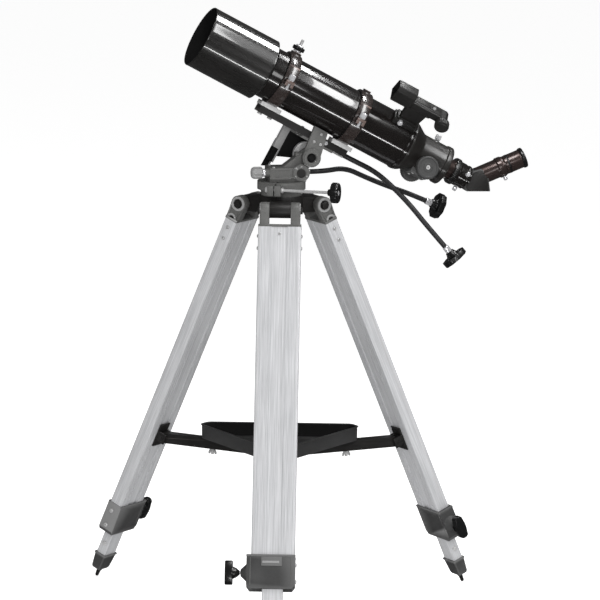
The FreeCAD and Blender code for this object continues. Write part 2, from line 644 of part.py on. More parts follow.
def focuser():
    outside = turned([(142, 44), (155, 44), (163, 44), (186, 32), (196, 32), (196, DRAW_R + FIT),
                      (252, DRAW_R + FIT), (252, 37.5), (250, 39), (241, 39), (239, 37), (188, 37), (183, 39),
                      (165, 50), (163, 51.5), (155, 51.5), (155, 49), (142, 49)])
    block = box(189, 227, -17, 17, -44, -24)
    clear = box(195, 253, -3.9, 3.9, -23.2, -15)
    shaft = rod(3 + FIT, (SHAFT_S, -40, SHAFT_DOWN), (SHAFT_S, 40, SHAFT_DOWN))
    pocket = rod(PINION_R + 0.8, (SHAFT_S, -6, SHAFT_DOWN), (SHAFT_S, 6, SHAFT_DOWN))
    lock = rod(2.5 + FIT, (LOCK_S, 0, 10), (LOCK_S, 0, 45))
    inner = rod(DRAW_R + FIT, (190, 0, 0), (260, 0, 0))
    body = cut(fuse(outside, cut(block, inner)), clear, shaft, pocket, lock)
    at = tube_frame(FOCUS_ROLL)
    keep("focuser", moved(body, at))
    screw = fuse(rod(2.5, (LOCK_S, 0, DRAW_R + 0.6), (LOCK_S, 0, 40)), rod(6, (LOCK_S, 0, 38), (LOCK_S, 0, 50)))
    keep("focus_lock_screw", moved(screw, at))
    axle = fuse(rod(3, (SHAFT_S, -50, SHAFT_DOWN), (SHAFT_S, 50, SHAFT_DOWN)),
                rod(PINION_R - 0.2, (SHAFT_S, -5, SHAFT_DOWN), (SHAFT_S, 5, SHAFT_DOWN)))
    keep("focus_shaft", moved(axle, at))
    knobs = []
    for side in (-1, 1):
        a, b = side * FOCUS_KNOB_T[0], side * FOCUS_KNOB_T[1]
        wheel = rod(FOCUS_KNOB_R, (SHAFT_S, a, SHAFT_DOWN), (SHAFT_S, b, SHAFT_DOWN))
        neck = rod(8, (SHAFT_S, side * 32.5, SHAFT_DOWN), (SHAFT_S, a, SHAFT_DOWN))
        bore = rod(3, (SHAFT_S, 0, SHAFT_DOWN), (SHAFT_S, side * 50, SHAFT_DOWN))
        knobs.append(moved(cut(fuse(wheel, neck), bore), at))
    keep("focus_knobs", *knobs)


def drawtube():
    at = tube_frame(FOCUS_ROLL)
    tube = pipe(150, DRAW_END, DRAW_R, DRAW_R - 2)
    rack = cut(box(150, 262, -3.5, 3.5, -DRAW_R - 2.5, -DRAW_R + 1), rod(DRAW_R - 1, (140, 0, 0), (280, 0, 0)))
    keep("drawtube", moved(fuse(tube, rack), at))
    collar = turned([(266, DRAW_R), (DRAW_END, DRAW_R), (DRAW_END, EYE_BARREL_R + FIT), (303, EYE_BARREL_R + FIT),
                     (303, 22.5), (301, 24), (279, 24), (277, 26.5), (268, 26.5), (266, 25)])
    keep("drawtube_collar", moved(collar, at))


def eye_frame():
    """Frame at the bend of the light path: X runs out along the eyepiece."""
    return tube_frame().multiply(Placement(V(BEND_S, 0, 0), Rotation(Y, -BEND)))


SOCKET_END = 74.0


def diagonal():
    at = tube_frame()
    turn = Placement(V(BEND_S, 0, 0), Rotation(Y, -BEND))
    case = plate([(303.4, 17), (317, 30), (337, 22), (354, -1), (311, -23), (303.4, -17)], "y", -19.5, 19.5)
    nose = rod(EYE_BARREL_R, (280, 0, 0), (306, 0, 0))
    socket = moved(fuse(rod(19, (20, 0, 0), (SOCKET_END, 0, 0)), rod(20.5, (60, 0, 0), (70, 0, 0))), turn)
    light_in = rod(13, (279, 0, 0), (BEND_S, 0, 0))
    light_out = moved(rod(13, (0, 0, 0), (SOCKET_END + 1, 0, 0)), turn)
    seat = moved(rod(EYE_BARREL_R + FIT, (44, 0, 0), (SOCKET_END + 1, 0, 0)), turn)
    room = plate([(304.5, 13.5), (317, 25), (331, 19), (345, 0), (311, -18), (304.5, -13.5)], "y", -14, 14)
    keep("diagonal", moved(cut(fuse(case, nose, socket), light_in, light_out, seat, room), at))
    glass = plate([(305, 13), (317, 24.2), (330.5, 18.4), (344, 0.2), (311, -17.2), (305, -13)], "y", -13.5, 13.5)
    keep("diagonal_prism", moved(glass, at))


def eyepiece():
    body = turned([(46, 12), (102, 12), (108, 8), (117, 12), (117, 19.5), (116, 20.5), (111, 20.5), (110, 18.5),
                   (SOCKET_END + GAP, 18.5), (SOCKET_END + GAP, EYE_BARREL_R), (46, EYE_BARREL_R)])
    keep("eyepiece", moved(body, eye_frame()))


def finder():
    at = tube_frame(FINDER_ROLL)
    shoe = cut(box(103, 152, -14, 14, 45, 60), rod(TUBE_R, (90, 0, 0), (160, 0, 0)))
    keep("finder_shoe", moved(shoe, at))
    stem = plate([(112, 60), (150, 60), (156, 101), (108, 101)], "y", -8, 8)
    deck = box(98, 192, -13, 13, 100, 116)
    hood = plate([(74, 98), (112, 98), (112, 134), (66, 134)], "y", -16, 16)
    window = box(60, 120, -13.5, 13.5, 103, 131)
    body = fuse(cut(hood, window), stem, cut(deck, box(60, 112, -14, 14, 103, 120)))
    keep("finder", moved(body, at))
    dial = fuse(rod(15, (184, -27, 106), (184, -13 - GAP, 106)), rod(11, (184, -29, 106), (184, -27, 106)))
    keep("finder_dial", moved(dial, at))


# ---------------------------------------------------------------- flexible cables
def altitude_cable_start():
    """First two points of the altitude cable, straight out of the worm's coupling."""
    points = []
    for station in (WORM_END, WORM_END + 30):
        world = TILT.multVec(V(station, ALT_WORM_T, WORM_N))
        points.append(tuple(HEAD.inverse().multVec(world)))
    return points


def cable_path(points):
    """Straight runs joined by tangent arcs as large as their two runs allow."""
    corners = [V(*p) for p in points]
    edges = []
    radii = []
    here = corners[0]
    for before, corner, after in zip(corners, corners[1:], corners[2:]):
        a = before - corner
        b = after - corner
        turn = math.pi - a.getAngle(b)
        reach = 0.45 * min(a.Length, b.Length)
        radius = reach / math.tan(turn / 2)
        a.normalize()
        b.normalize()
        start = corner + a * reach
        end = corner + b * reach
        inward = a + b
        inward.normalize()
        middle = corner + inward * (radius / math.cos(turn / 2) - radius)
        edges.append(Part.LineSegment(here, start).toShape())
        edges.append(Part.Arc(start, middle, end).toShape())
        radii.append(radius)
        here = end
    edges.append(Part.LineSegment(here, corners[-1]).toShape())
    return Part.Wire(edges), radii


def cable(name, points):
    wire, radii = cable_path(points)
    start = V(*points[0])
    along = V(*points[1]) - start
    section = Part.Wire(Part.makeCircle(CABLE_D / 2, start, along))
    tube = wire.makePipeShell([section], True, False)
    expected = math.pi * CABLE_D ** 2 / 4 * wire.Length
    print(name, "length", round(wire.Length, 1), "radii", [round(r) for r in radii],
          "volume ratio", round(tube.Volume / expected, 4))
    keep(name + "_cable", moved(tube, HEAD))
    hand_knob(name, V(*points[-2]), V(*points[-1]))


def hand_knob(name, before, end):
    """Ferrule, hub and round knob on the end of a cable."""
    profile = [(0, 0), (0, 6.5), (13, 6.5), (13, 9), (20, 12), (23, 12), (23, 24), (25, 26), (33, 26), (35, 24),
               (35, 0)]
    solid = turned(profile)
    holes = []
    for k in range(3):
        angle = math.radians(90 + 120 * k)
        y, z = 17 * math.cos(angle), 17 * math.sin(angle)
        holes.append(rod(5.2, (22, y, z), (36, y, z)))
    turn = Rotation(X, end - before)
    keep(name + "_cable_knob", moved(cut(solid, *holes), HEAD.multiply(Placement(end, turn))))


def cables():
    cable("azimuth", AZ_ROUTE)
    cable("altitude", altitude_cable_start() + ALT_ROUTE)


# ---------------------------------------------------------------- build
tripod()
azimuth_base()
azimuth_clamp()
azimuth_wheel()
azimuth_head()
azimuth_worm()
altitude_lock()
altitude_wheel()
altitude_axle()
saddle()
altitude_worm()
mounting_bar()
rings()
optics()
focuser()
drawtube()
diagonal()
eyepiece()
finder()
cables()

os.makedirs("parts", exist_ok=True)
for node, shape in NODES.items():
    shape.exportStep("parts/" + node + ".step")
print(len(NODES), "nodes")
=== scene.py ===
import json
from math import atan2, cos, pi, radians, sin

import bmesh
import bpy
from mathutils import Matrix, Vector

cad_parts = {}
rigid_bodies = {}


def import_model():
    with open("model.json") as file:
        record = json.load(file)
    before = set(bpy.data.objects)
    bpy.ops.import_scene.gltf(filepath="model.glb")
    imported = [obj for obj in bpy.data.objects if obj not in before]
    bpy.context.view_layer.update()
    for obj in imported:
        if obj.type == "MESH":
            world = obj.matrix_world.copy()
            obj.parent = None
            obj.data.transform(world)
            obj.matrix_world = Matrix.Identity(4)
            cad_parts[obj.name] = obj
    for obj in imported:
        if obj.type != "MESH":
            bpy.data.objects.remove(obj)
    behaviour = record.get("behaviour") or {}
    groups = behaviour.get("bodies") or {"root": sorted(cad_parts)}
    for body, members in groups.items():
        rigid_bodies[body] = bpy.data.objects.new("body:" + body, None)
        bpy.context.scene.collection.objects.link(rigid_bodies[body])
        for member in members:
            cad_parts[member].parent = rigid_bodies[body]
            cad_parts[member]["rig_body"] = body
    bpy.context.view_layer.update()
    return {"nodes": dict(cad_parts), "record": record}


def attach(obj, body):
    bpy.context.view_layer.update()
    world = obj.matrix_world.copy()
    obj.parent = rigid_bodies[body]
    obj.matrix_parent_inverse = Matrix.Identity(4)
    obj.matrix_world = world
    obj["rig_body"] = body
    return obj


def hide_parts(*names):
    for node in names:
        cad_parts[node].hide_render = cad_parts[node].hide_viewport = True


# Refractor telescope on a geared alt-azimuth head and a tripod with a tray.
# Sizes are in millimetres in the frames below; every mesh ends in metres. Angles are in degrees.

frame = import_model()
MM = 0.001


# ---------------------------------------------------------------- frames
def shift(x, y, z):
    return Matrix.Translation(Vector((x, y, z)) * MM)


def turn(axis, degrees):
    return Matrix.Rotation(radians(degrees), 4, axis)


HEADING = 13.8
ALTITUDE = 28.3
ALTITUDE_AXIS = (53, 880.5)     # out from the azimuth axis, and up
TUBE_ABOVE_AXIS = 107
FOCUSER_ROLL = -12
FINDER_ROLL = 40
DIAGONAL_BEND = 50
DIAGONAL_AT = 311
RINGS = {"front": -119, "rear": 42}     # stations along the tube
PINION = (208, -28)     # the focus shaft: station, and height in the focuser's frame
LEG_LEAN = 23.9
LEG_PIVOT = (75, 786)     # out from the azimuth axis, and up
LEG_BOLT_OUT = 37.5
COLLAR_KNOB_AT = -716     # along the leg, from its pivot
TRAY_BOLT_OUT = 152
CLAMP_ANGLE = -102.7
CLAMP_OUT = 53
CLAMP_UP = 822
SPIKE_END = 855.66     # centre of the spike's rounded end, down along the leg from its pivot

HEAD = turn("Z", HEADING)
TILT = HEAD @ shift(ALTITUDE_AXIS[0], 0, ALTITUDE_AXIS[1]) @ turn("Y", ALTITUDE)


def tube_frame(roll):
    """X rearward along the tube's axis, Z out of its top."""
    return TILT @ shift(0, 0, TUBE_ABOVE_AXIS) @ turn("X", roll)


TUBE = tube_frame(0)
FOCUS = tube_frame(FOCUSER_ROLL)
FINDER = tube_frame(FINDER_ROLL)
EYE = TUBE @ shift(DIAGONAL_AT, 0, 0) @ turn("Y", -DIAGONAL_BEND)
LEGS = {"front": -90.0, "left": 150.0, "right": 30.0}


def outward(name):
    """Y along the ground away from the middle, towards the named leg."""
    return turn("Z", LEGS[name] - 90)


def leg_frame(name):
    """Z up along the leg, Y out of its outer face, X along its width."""
    out = radians(LEGS[name])
    reach, height = LEG_PIVOT
    pivot = shift(reach * cos(out), reach * sin(out), height)
    return pivot @ outward(name) @ turn("X", LEG_LEAN)


def clamp_frame():
    """X along the rod that closes the azimuth base's split clamp."""
    out = radians(CLAMP_ANGLE)
    return shift(CLAMP_OUT * cos(out), CLAMP_OUT * sin(out), CLAMP_UP) @ turn("Z", CLAMP_ANGLE + 90)


CLAMP = clamp_frame()


def aimed(start, end):
    """Frame at start with X towards end, both in metres."""
    along = (end - start).normalized()
    return Matrix.Translation(start) @ along.to_track_quat("X", "Z").to_matrix().to_4x4()


# ---------------------------------------------------------------- camera
LENS = 362.09
SENSOR = 36
CAMERA_ROUND = 1.3     # round the object
CAMERA_AT = (0, -11.6063, 2.4877)     # in metres, before that turn
CAMERA_AIM = (0.191, 9.243, 0.662)     # pan, downward pitch and roll


def camera():
    pan, pitch, roll = (radians(angle) for angle in CAMERA_AIM)
    forward = Vector((sin(pan) * cos(pitch), cos(pan) * cos(pitch), -sin(pitch)))
    right = Vector((cos(pan), -sin(pan), 0))
    up = right.cross(forward)
    right, up = right * cos(roll) + up * sin(roll), up * cos(roll) - right * sin(roll)
    data = bpy.data.cameras.new("camera")
    data.sensor_width = SENSOR
    data.lens = LENS
    data.clip_end = 100
    obj = bpy.data.objects.new("camera", data)
    turned = Matrix((right, up, -forward)).transposed().to_4x4()
    obj.matrix_world = turn("Z", CAMERA_ROUND) @ Matrix.Translation(CAMERA_AT) @ turned
    bpy.context.collection.objects.link(obj)
    bpy.context.scene.camera = obj


camera()


# ---------------------------------------------------------------- materials
def srgb(*rgb):
    """Linear colour of an sRGB one."""
    return tuple(c / 12.92 if c <= 0.04045 else ((c + 0.055) / 1.055) ** 2.4 for c in rgb) + (1,)


def grey(level):
    return srgb(level, level, level)


class Nodes:
    """Small helper that builds one node material."""

    def __init__(self, name):
        self.mat = bpy.data.materials.new(name)
        self.mat.use_nodes = True
        self.tree = self.mat.node_tree
        self.shader = self.tree.nodes["Principled BSDF"]

    def add(self, kind, **values):
        node = self.tree.nodes.new(kind)
        for key, value in values.items():
            setattr(node, key, value)
        return node

    def link(self, a, b):
        self.tree.links.new(a, b)

    def place(self, scale=(1, 1, 1), within=None):
        """Object coordinates, in the given frame and scaled."""
        where = self.add("ShaderNodeTexCoord").outputs["Object"]
        if within is not None:
            back = within.inverted()
            turned = self.add("ShaderNodeMapping")
            self.link(where, turned.inputs["Vector"])
            turned.inputs["Rotation"].default_value = back.to_euler()
            turned.inputs["Location"].default_value = back.to_translation()
            where = turned.outputs["Vector"]
        sized = self.add("ShaderNodeMapping")
        self.link(where, sized.inputs["Vector"])
        sized.inputs["Scale"].default_value = scale
        return sized.outputs["Vector"]

    def noise(self, where, scale, detail=3.0, rough=0.55):
        node = self.add("ShaderNodeTexNoise")
        self.link(where, node.inputs["Vector"])
        node.inputs["Scale"].default_value = scale
        node.inputs["Detail"].default_value = detail
        node.inputs["Roughness"].default_value = rough
        return node.outputs["Fac"]

    def ramp(self, fac, low, high, a=0.35, b=0.65):
        """Colour or grey between low and high."""
        node = self.add("ShaderNodeValToRGB")
        node.color_ramp.elements[0].position = a
        node.color_ramp.elements[1].position = b
        node.color_ramp.elements[0].color = low
        node.color_ramp.elements[1].color = high
        self.link(fac, node.inputs["Fac"])
        return node.outputs["Color"]

    def span(self, fac, low, high):
        node = self.add("ShaderNodeMapRange")
        node.inputs["From Min"].default_value = 0.3
        node.inputs["From Max"].default_value = 0.7
        node.inputs["To Min"].default_value = low
        node.inputs["To Max"].default_value = high
        self.link(fac, node.inputs["Value"])
        return node.outputs["Result"]

    def bump(self, fac, strength, distance):
        node = self.add("ShaderNodeBump")
        node.inputs["Strength"].default_value = strength
        node.inputs["Distance"].default_value = distance
        self.link(fac, node.inputs["Height"])
        if self.shader.inputs["Normal"].links:
            self.link(self.shader.inputs["Normal"].links[0].from_socket, node.inputs["Normal"])
        self.link(node.outputs["Normal"], self.shader.inputs["Normal"])


WEAR_FADE = 0.06
COATING_TINT = (0.45, 0.75, 0.6, 1)


def finish_of(name, dark, light, rough, metallic=0.0, coat=0.0, grain=900.0, grain_depth=0.0,
              stretch=(1, 1, 1), along=None, wear=None, specular=0.5, wear_from=0.54, coat_rough=0.04,
              cloud=0.4):
    """A surface: broad colour variation, uneven roughness, fine grain and light wear on its edges.

    The grain is finer as its number rises and its depth is in millimetres. It is drawn out by stretch in the
    frame along. cloud is the share of the broad variation in the colour.
    """
    n = Nodes(name)
    broad = n.noise(n.place(), 22.0, 4.0)
    fine = n.noise(n.place(stretch, along), grain, 3.0, 0.6)
    mixed = n.add("ShaderNodeMath", operation="MULTIPLY_ADD")
    n.link(fine, mixed.inputs[0])
    mixed.inputs[1].default_value = 1 - cloud
    clouds = n.add("ShaderNodeMath", operation="MULTIPLY")
    n.link(broad, clouds.inputs[0])
    clouds.inputs[1].default_value = cloud
    n.link(clouds.outputs[0], mixed.inputs[2])
    colour = n.ramp(mixed.outputs[0], dark, light)
    if wear:
        edge = n.add("ShaderNodeNewGeometry").outputs["Pointiness"]
        mask = n.ramp(edge, (0, 0, 0, 1), (1, 1, 1, 1), wear_from, wear_from + WEAR_FADE)
        blend = n.add("ShaderNodeMix", data_type="RGBA")
        n.link(mask, blend.inputs["Factor"])
        n.link(colour, blend.inputs["A"])
        blend.inputs["B"].default_value = wear
        colour = blend.outputs["Result"]
    n.link(colour, n.shader.inputs["Base Color"])
    n.link(n.span(mixed.outputs[0], *rough), n.shader.inputs["Roughness"])
    n.shader.inputs["Metallic"].default_value = metallic
    n.shader.inputs["Specular IOR Level"].default_value = specular
    if coat:
        n.shader.inputs["Coat Weight"].default_value = coat
        n.shader.inputs["Coat Roughness"].default_value = coat_rough
    if grain_depth:
        n.bump(fine, 1.0, grain_depth * MM)
    return n.mat


def glass(name, tint):
    """Clear glass with a greenish anti-reflection coating."""
    n = Nodes(name)
    film = n.noise(n.place(), 30.0, 2.0)
    lighter = tuple(min(1, c * 1.15) for c in tint[:3]) + (1,)
    n.link(n.ramp(film, tint, lighter), n.shader.inputs["Base Color"])
    n.link(n.span(film, 0.01, 0.04), n.shader.inputs["Roughness"])
    n.shader.inputs["Transmission Weight"].default_value = 1.0
    n.shader.inputs["IOR"].default_value = 1.5
    n.shader.inputs["Coat Weight"].default_value = 0.6
    n.shader.inputs["Coat Tint"].default_value = COATING_TINT
    return n.mat


GLOSS = finish_of("gloss_black", srgb(0.04, 0.033, 0.031), srgb(0.07, 0.059, 0.055), (0.16, 0.24), coat=1.0,
    grain=500, grain_depth=0.0008)
SHIELD = finish_of("shield_black", srgb(0.055, 0.053, 0.051), srgb(0.095, 0.091, 0.088), (0.24, 0.34),
    coat=1.0, grain=420, stretch=(0.06, 1, 1), along=TUBE, grain_depth=0.0015, coat_rough=0.05)
FLAT = finish_of("flat_black", grey(0.045), grey(0.075), (0.8, 0.95), grain=1800, grain_depth=0.03,
    specular=0.2)
RING = finish_of("ring_black", srgb(0.085, 0.07, 0.066), srgb(0.15, 0.125, 0.118), (0.2, 0.32), coat=0.8,
    grain=400, grain_depth=0.003, wear=srgb(0.42, 0.36, 0.34))
CAST = finish_of("cast_paint", srgb(0.24, 0.24, 0.235), srgb(0.34, 0.34, 0.335), (0.45, 0.62), coat=0.1,
    grain=650, grain_depth=0.05, wear=grey(0.52), wear_from=0.57)
MOULD = finish_of("moulded_plastic", grey(0.15), grey(0.23), (0.5, 0.68), grain=1100, grain_depth=0.035,
    wear=grey(0.42))
DARK = finish_of("dark_plastic", srgb(0.065, 0.062, 0.06), srgb(0.11, 0.106, 0.102), (0.38, 0.54), grain=1300,
    grain_depth=0.02, wear=srgb(0.26, 0.25, 0.24), wear_from=0.6)
KNOB = finish_of("knob_black", srgb(0.035, 0.035, 0.037), srgb(0.065, 0.065, 0.067), (0.24, 0.36), grain=1500,
    grain_depth=0.006, coat=0.2)
RUBBER = finish_of("cable_rubber", srgb(0.08, 0.08, 0.085), srgb(0.14, 0.14, 0.145), (0.36, 0.5), grain=1700,
    grain_depth=0.03)
TRAY = finish_of("tray_black", grey(0.12), grey(0.18), (0.38, 0.55), grain=1300, grain_depth=0.04)
STEEL = finish_of("steel", grey(0.62), grey(0.8), (0.24, 0.38), metallic=0.55, grain=1400, grain_depth=0.008)
CHROME = finish_of("chrome", srgb(0.78, 0.78, 0.79), srgb(0.9, 0.9, 0.91), (0.08, 0.16), metallic=0.65,
    grain=900, grain_depth=0.002)
BRIGHT = finish_of("satin_alloy", grey(0.62), grey(0.74), (0.3, 0.42), metallic=0.35, grain=900,
    grain_depth=0.01)
SATIN = finish_of("satin_black", srgb(0.075, 0.07, 0.066), srgb(0.115, 0.107, 0.1), (0.34, 0.44), coat=0.6,
    grain=1200, grain_depth=0.004, coat_rough=0.2)
WARM = finish_of("warm_lacquer", srgb(0.27, 0.228, 0.22), srgb(0.33, 0.285, 0.275), (0.26, 0.34),
    metallic=0.85, coat=0.5, grain=900, grain_depth=0.0005, coat_rough=0.1)
WORN = finish_of("light_grey_paint", grey(0.42), grey(0.52), (0.45, 0.6), grain=800, grain_depth=0.03)
GLASS = glass("coated_glass", (0.92, 0.97, 0.95, 1))


def leg_alloy(name):
    """Drawn aluminium with lines along the leg."""
    return finish_of("alloy_" + name, srgb(0.64, 0.642, 0.65), srgb(0.76, 0.762, 0.77), (0.34, 0.46),
        metallic=0.3, grain=900, stretch=(1, 1, 0.012), along=leg_frame(name), grain_depth=0.012, cloud=0.08)


ALLOY = {name: leg_alloy(name) for name in LEGS}


# ---------------------------------------------------------------- mesh building
ON_AXIS = 1e-6
CORNER_SHARE = 0.42     # of the shorter side, at most, taken up by a rounded corner
LEAST_CORNER = 0.03
FLAT_ENOUGH = 0.6     # the CAD's facets within this angle are one face
COPY_LIMIT = 32     # edges that turn by more than these angles are rounded
PRISM_LIMIT = 28


def corner_curve(a, corner, b, steps):
    """Points of the curve from a to b that turns at the corner."""
    shares = [k / steps for k in range(steps + 1)]
    return [a * (1 - t) ** 2 + corner * 2 * t * (1 - t) + b * t * t for t in shares]


def rounded(profile, radius, steps=3):
    """The closed outline with its corners rounded."""
    points = [Vector(p) for p in profile]
    result = []
    for i, corner in enumerate(points):
        before, after = points[i - 1], points[(i + 1) % len(points)]
        shortest = min((before - corner).length, (after - corner).length)
        reach = min(radius, CORNER_SHARE * shortest)
        if reach < LEAST_CORNER or corner.y < ON_AXIS:
            result.append(corner)
            continue
        a = corner + (before - corner).normalized() * reach
        b = corner + (after - corner).normalized() * reach
        result += corner_curve(a, corner, b, steps)
    return result


def rectangle(x0, x1, y0, y1):
    return [(x0, y0), (x1, y0), (x1, y1), (x0, y1)]


def polygon(count, radius):
    angles = [2 * pi * k / count for k in range(count)]
    return [(radius * cos(a), radius * sin(a)) for a in angles]


def round_edges(bm, width, segments, limit):
    sharp = [e for e in bm.edges if len(e.link_faces) == 2 and e.calc_face_angle(0) > radians(limit)]
    bmesh.ops.bevel(bm, geom=sharp, offset=width, segments=segments, profile=0.5, affect="EDGES",
        clamp_overlap=True)


class Piece:
    """One object made of several closed shells, each with its own frame and material."""

    def __init__(self, name, body, slot, replaces=()):
        self.name, self.body, self.slot, self.replaces = name, body, slot, replaces
        self.bm = bmesh.new()
        self.materials = []

    def _join(self, bm, place, material):
        if material not in self.materials:
            self.materials.append(material)
        index = self.materials.index(material)
        bmesh.ops.recalc_face_normals(bm, faces=bm.faces[:])
        for face in bm.faces:
            face.material_index = index
        bmesh.ops.transform(bm, matrix=place @ Matrix.Scale(MM, 4), verts=bm.verts[:])
        shell = bpy.data.meshes.new("shell")
        bm.to_mesh(shell)
        bm.free()
        self.bm.from_mesh(shell)
        bpy.data.meshes.remove(shell)
        return self

    def lathe(self, place, material, profile, soft=0.5, sides=72, flutes=None, arc=360.0, sweep=0.0):
        """Turned shell about X from (station, radius) points. flutes: count, depth, least radius."""
        outline = rounded(profile, soft) if soft else [Vector(p) for p in profile]
        whole = arc >= 360
        columns = sides if whole else sides + 1
        bm = bmesh.new()
        rows = []
        for s, r in outline:
            if r < ON_AXIS:
                rows.append([bm.verts.new((s, 0, 0))] * columns)
                continue
            row = []
            for k in range(columns):
                angle = radians(sweep) + radians(arc) * k / sides + pi / 2
                radius = r
                if flutes and r >= flutes[2]:
                    count, depth, _ = flutes
                    radius -= depth * (0.5 - 0.5 * cos(count * 2 * pi * k / sides))
                row.append(bm.verts.new((s, radius * cos(angle), radius * sin(angle))))
            rows.append(row)
        for i, row in enumerate(rows):
            follow = rows[(i + 1) % len(rows)]
            for k in range(columns if whole else columns - 1):
                j = (k + 1) % columns
                corners = []
                for v in (row[k], row[j], follow[j], follow[k]):
                    if v not in corners:
                        corners.append(v)
                if len(corners) > 2:
                    bm.faces.new(corners)
        if not whole:
            for k in (0, columns - 1):
                bm.faces.new([row[k] for row in rows])
        return self._join(bm, place, material)

    def sleeve(self, place, material, start, end, inner, outer, soft, sides, flutes=None):
        """Plain turned part. A rod has an inner radius of 0."""
        profile = [(start, inner), (start, outer), (end, outer), (end, inner)]
        return self.lathe(place, material, profile, soft, sides, flutes)

    def loft(self, place, material, rings):
        """Closed shell over rings of points, from the first to the last."""
        bm = bmesh.new()
        rows = [[bm.verts.new(p) for p in ring] for ring in rings]
        for low, high in zip(rows, rows[1:]):
            for k in range(len(low)):
                j = (k + 1) % len(low)
                bm.faces.new((low[k], low[j], high[j], high[k]))
        bm.faces.new(rows[0])
        bm.faces.new(rows[-1])
        return self._join(bm, place, material)

    def prism(self, place, material, outline, axis, low, high, bevel=0.8, segments=2, holes=()):
        """Extruded outline; the points are the two axes left over, in order."""
        bm = bmesh.new()

        def corner(p, at):
            return {"x": (at, p[0], p[1]), "y": (p[0], at, p[1]), "z": (p[0], p[1], at)}[axis]

        loops = []
        for loop in (outline, *holes):
            ends = [[bm.verts.new(corner(p, at)) for p in loop] for at in (low, high)]
            for k in range(len(loop)):
                j = (k + 1) % len(loop)
                bm.faces.new((ends[0][k], ends[0][j], ends[1][j], ends[1][k]))
            loops.append(ends)
        if holes:
            for end in (0, 1):
                edges = []
                for ends in loops:
                    row = ends[end]
                    edges += [bm.edges.get((row[k], row[(k + 1) % len(row)])) for k in range(len(row))]
                bmesh.ops.triangle_fill(bm, edges=edges, use_beauty=True)
        else:
            bm.faces.new(loops[0][0])
            bm.faces.new(loops[0][1])
        if bevel:
            bmesh.ops.recalc_face_normals(bm, faces=bm.faces[:])
            round_edges(bm, bevel, segments, PRISM_LIMIT)
        return self._join(bm, place, material)

    def block(self, place, material, x0, x1, y0, y1, z0, z1, bevel=0.8, segments=2):
        return self.prism(place, material, rectangle(x0, x1, y0, y1), "z", z0, z1, bevel, segments)

    def copy_of(self, node, material, bevel=0.5):
        """The CAD node's own shape with its sharp edges rounded."""
        bm = bmesh.new()
        bm.from_mesh(frame["nodes"][node].data)
        bmesh.ops.remove_doubles(bm, verts=bm.verts[:], dist=0.00001)
        bmesh.ops.dissolve_limit(bm, angle_limit=radians(FLAT_ENOUGH), verts=bm.verts[:],
            edges=bm.edges[:])
        if bevel:
            round_edges(bm, bevel * MM, 2, COPY_LIMIT)
        return self._join(bm, Matrix.Scale(1 / MM, 4), material)

    def done(self, smooth=34):
        mesh = bpy.data.meshes.new(self.name)
        self.bm.to_mesh(mesh)
        self.bm.free()
        for material in self.materials:
            mesh.materials.append(material)
        mesh.shade_smooth()
        mesh.set_sharp_from_angle(angle=radians(smooth))
        obj = bpy.data.objects.new(self.name, mesh)
        bpy.context.collection.objects.link(obj)
        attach(obj, self.body)
        if self.replaces:
            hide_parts(*self.replaces)
        return obj


def refined(*rows):
    """Nodes whose CAD shape is right, with softened edges. A row is node, material, edge width."""
    slots = {row["node"]: row["material_slot"] for row in frame["record"]["subparts"]}
    for node, material, bevel in rows:
        body = frame["nodes"][node]["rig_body"]
        Piece(node + "_part", body, slots[node], [node]).copy_of(node, material, bevel).done()


def facing(place, x, y, z, axis):
    """Frame at a point of another frame with X along the given axis of it."""
    to = {"x": Matrix.Identity(4), "-x": turn("Z", 180), "y": turn("Z", 90), "-y": turn("Z", -90),
          "z": turn("Y", -90), "-z": turn("Y", 90)}[axis]
    return place @ shift(x, y, z) @ to


def pan_screw(piece, place, r, h, material=STEEL):
    """Domed head with a socket, standing along X."""
    piece.lathe(place, material, [(-1, 0), (-1, r), (0.45 * h, r), (h, 0.6 * r), (h, 0.42 * r),
        (0.4 * h, 0.42 * r), (0.4 * h, 0)], 0.35, 24)


def hex_head(piece, place, r, h, material=STEEL):
    piece.prism(place, material, polygon(6, r), "x", -0.5, h, 0.35)


def wing_nut(piece, place, size=1.0, material=STEEL):
    """Nut along X with two wings."""
    piece.lathe(place, material, [(0, 0), (0, 5 * size), (4 * size, 4 * size), (7 * size, 3.2 * size),
        (7 * size, 0)], 0.5, 24)
    wing = ((1, 2.5), (1, 6), (8, 10), (12, 9.4), (12, 6.4), (6, 3))
    for side in (-1, 1):
        outline = [(x * size, side * y * size) for x, y in wing]
        piece.prism(place, material, outline, "z", -1.1 * size, 1.1 * size, 0.5)


# ---------------------------------------------------------------- cables
AZ_ROUTE = [(60, 18, 847.5), (88, 18, 847.5), (136, 43, 850.5), (184, 60, 827), (237, 69, 805),
    (273, 77, 792), (309, 81.5, 776)]
ALT_ROUTE = [(186.5, 6, 848), (217.5, -12, 820.5), (250.5, -26, 785.5), (283, -36, 744.5),
    (318.5, -43.5, 703)]
ALT_START = [(58, 24.3, 33), (88, 24.3, 33)]


def in_metres(place, points):
    return [place @ (Vector(p) * MM) for p in points]


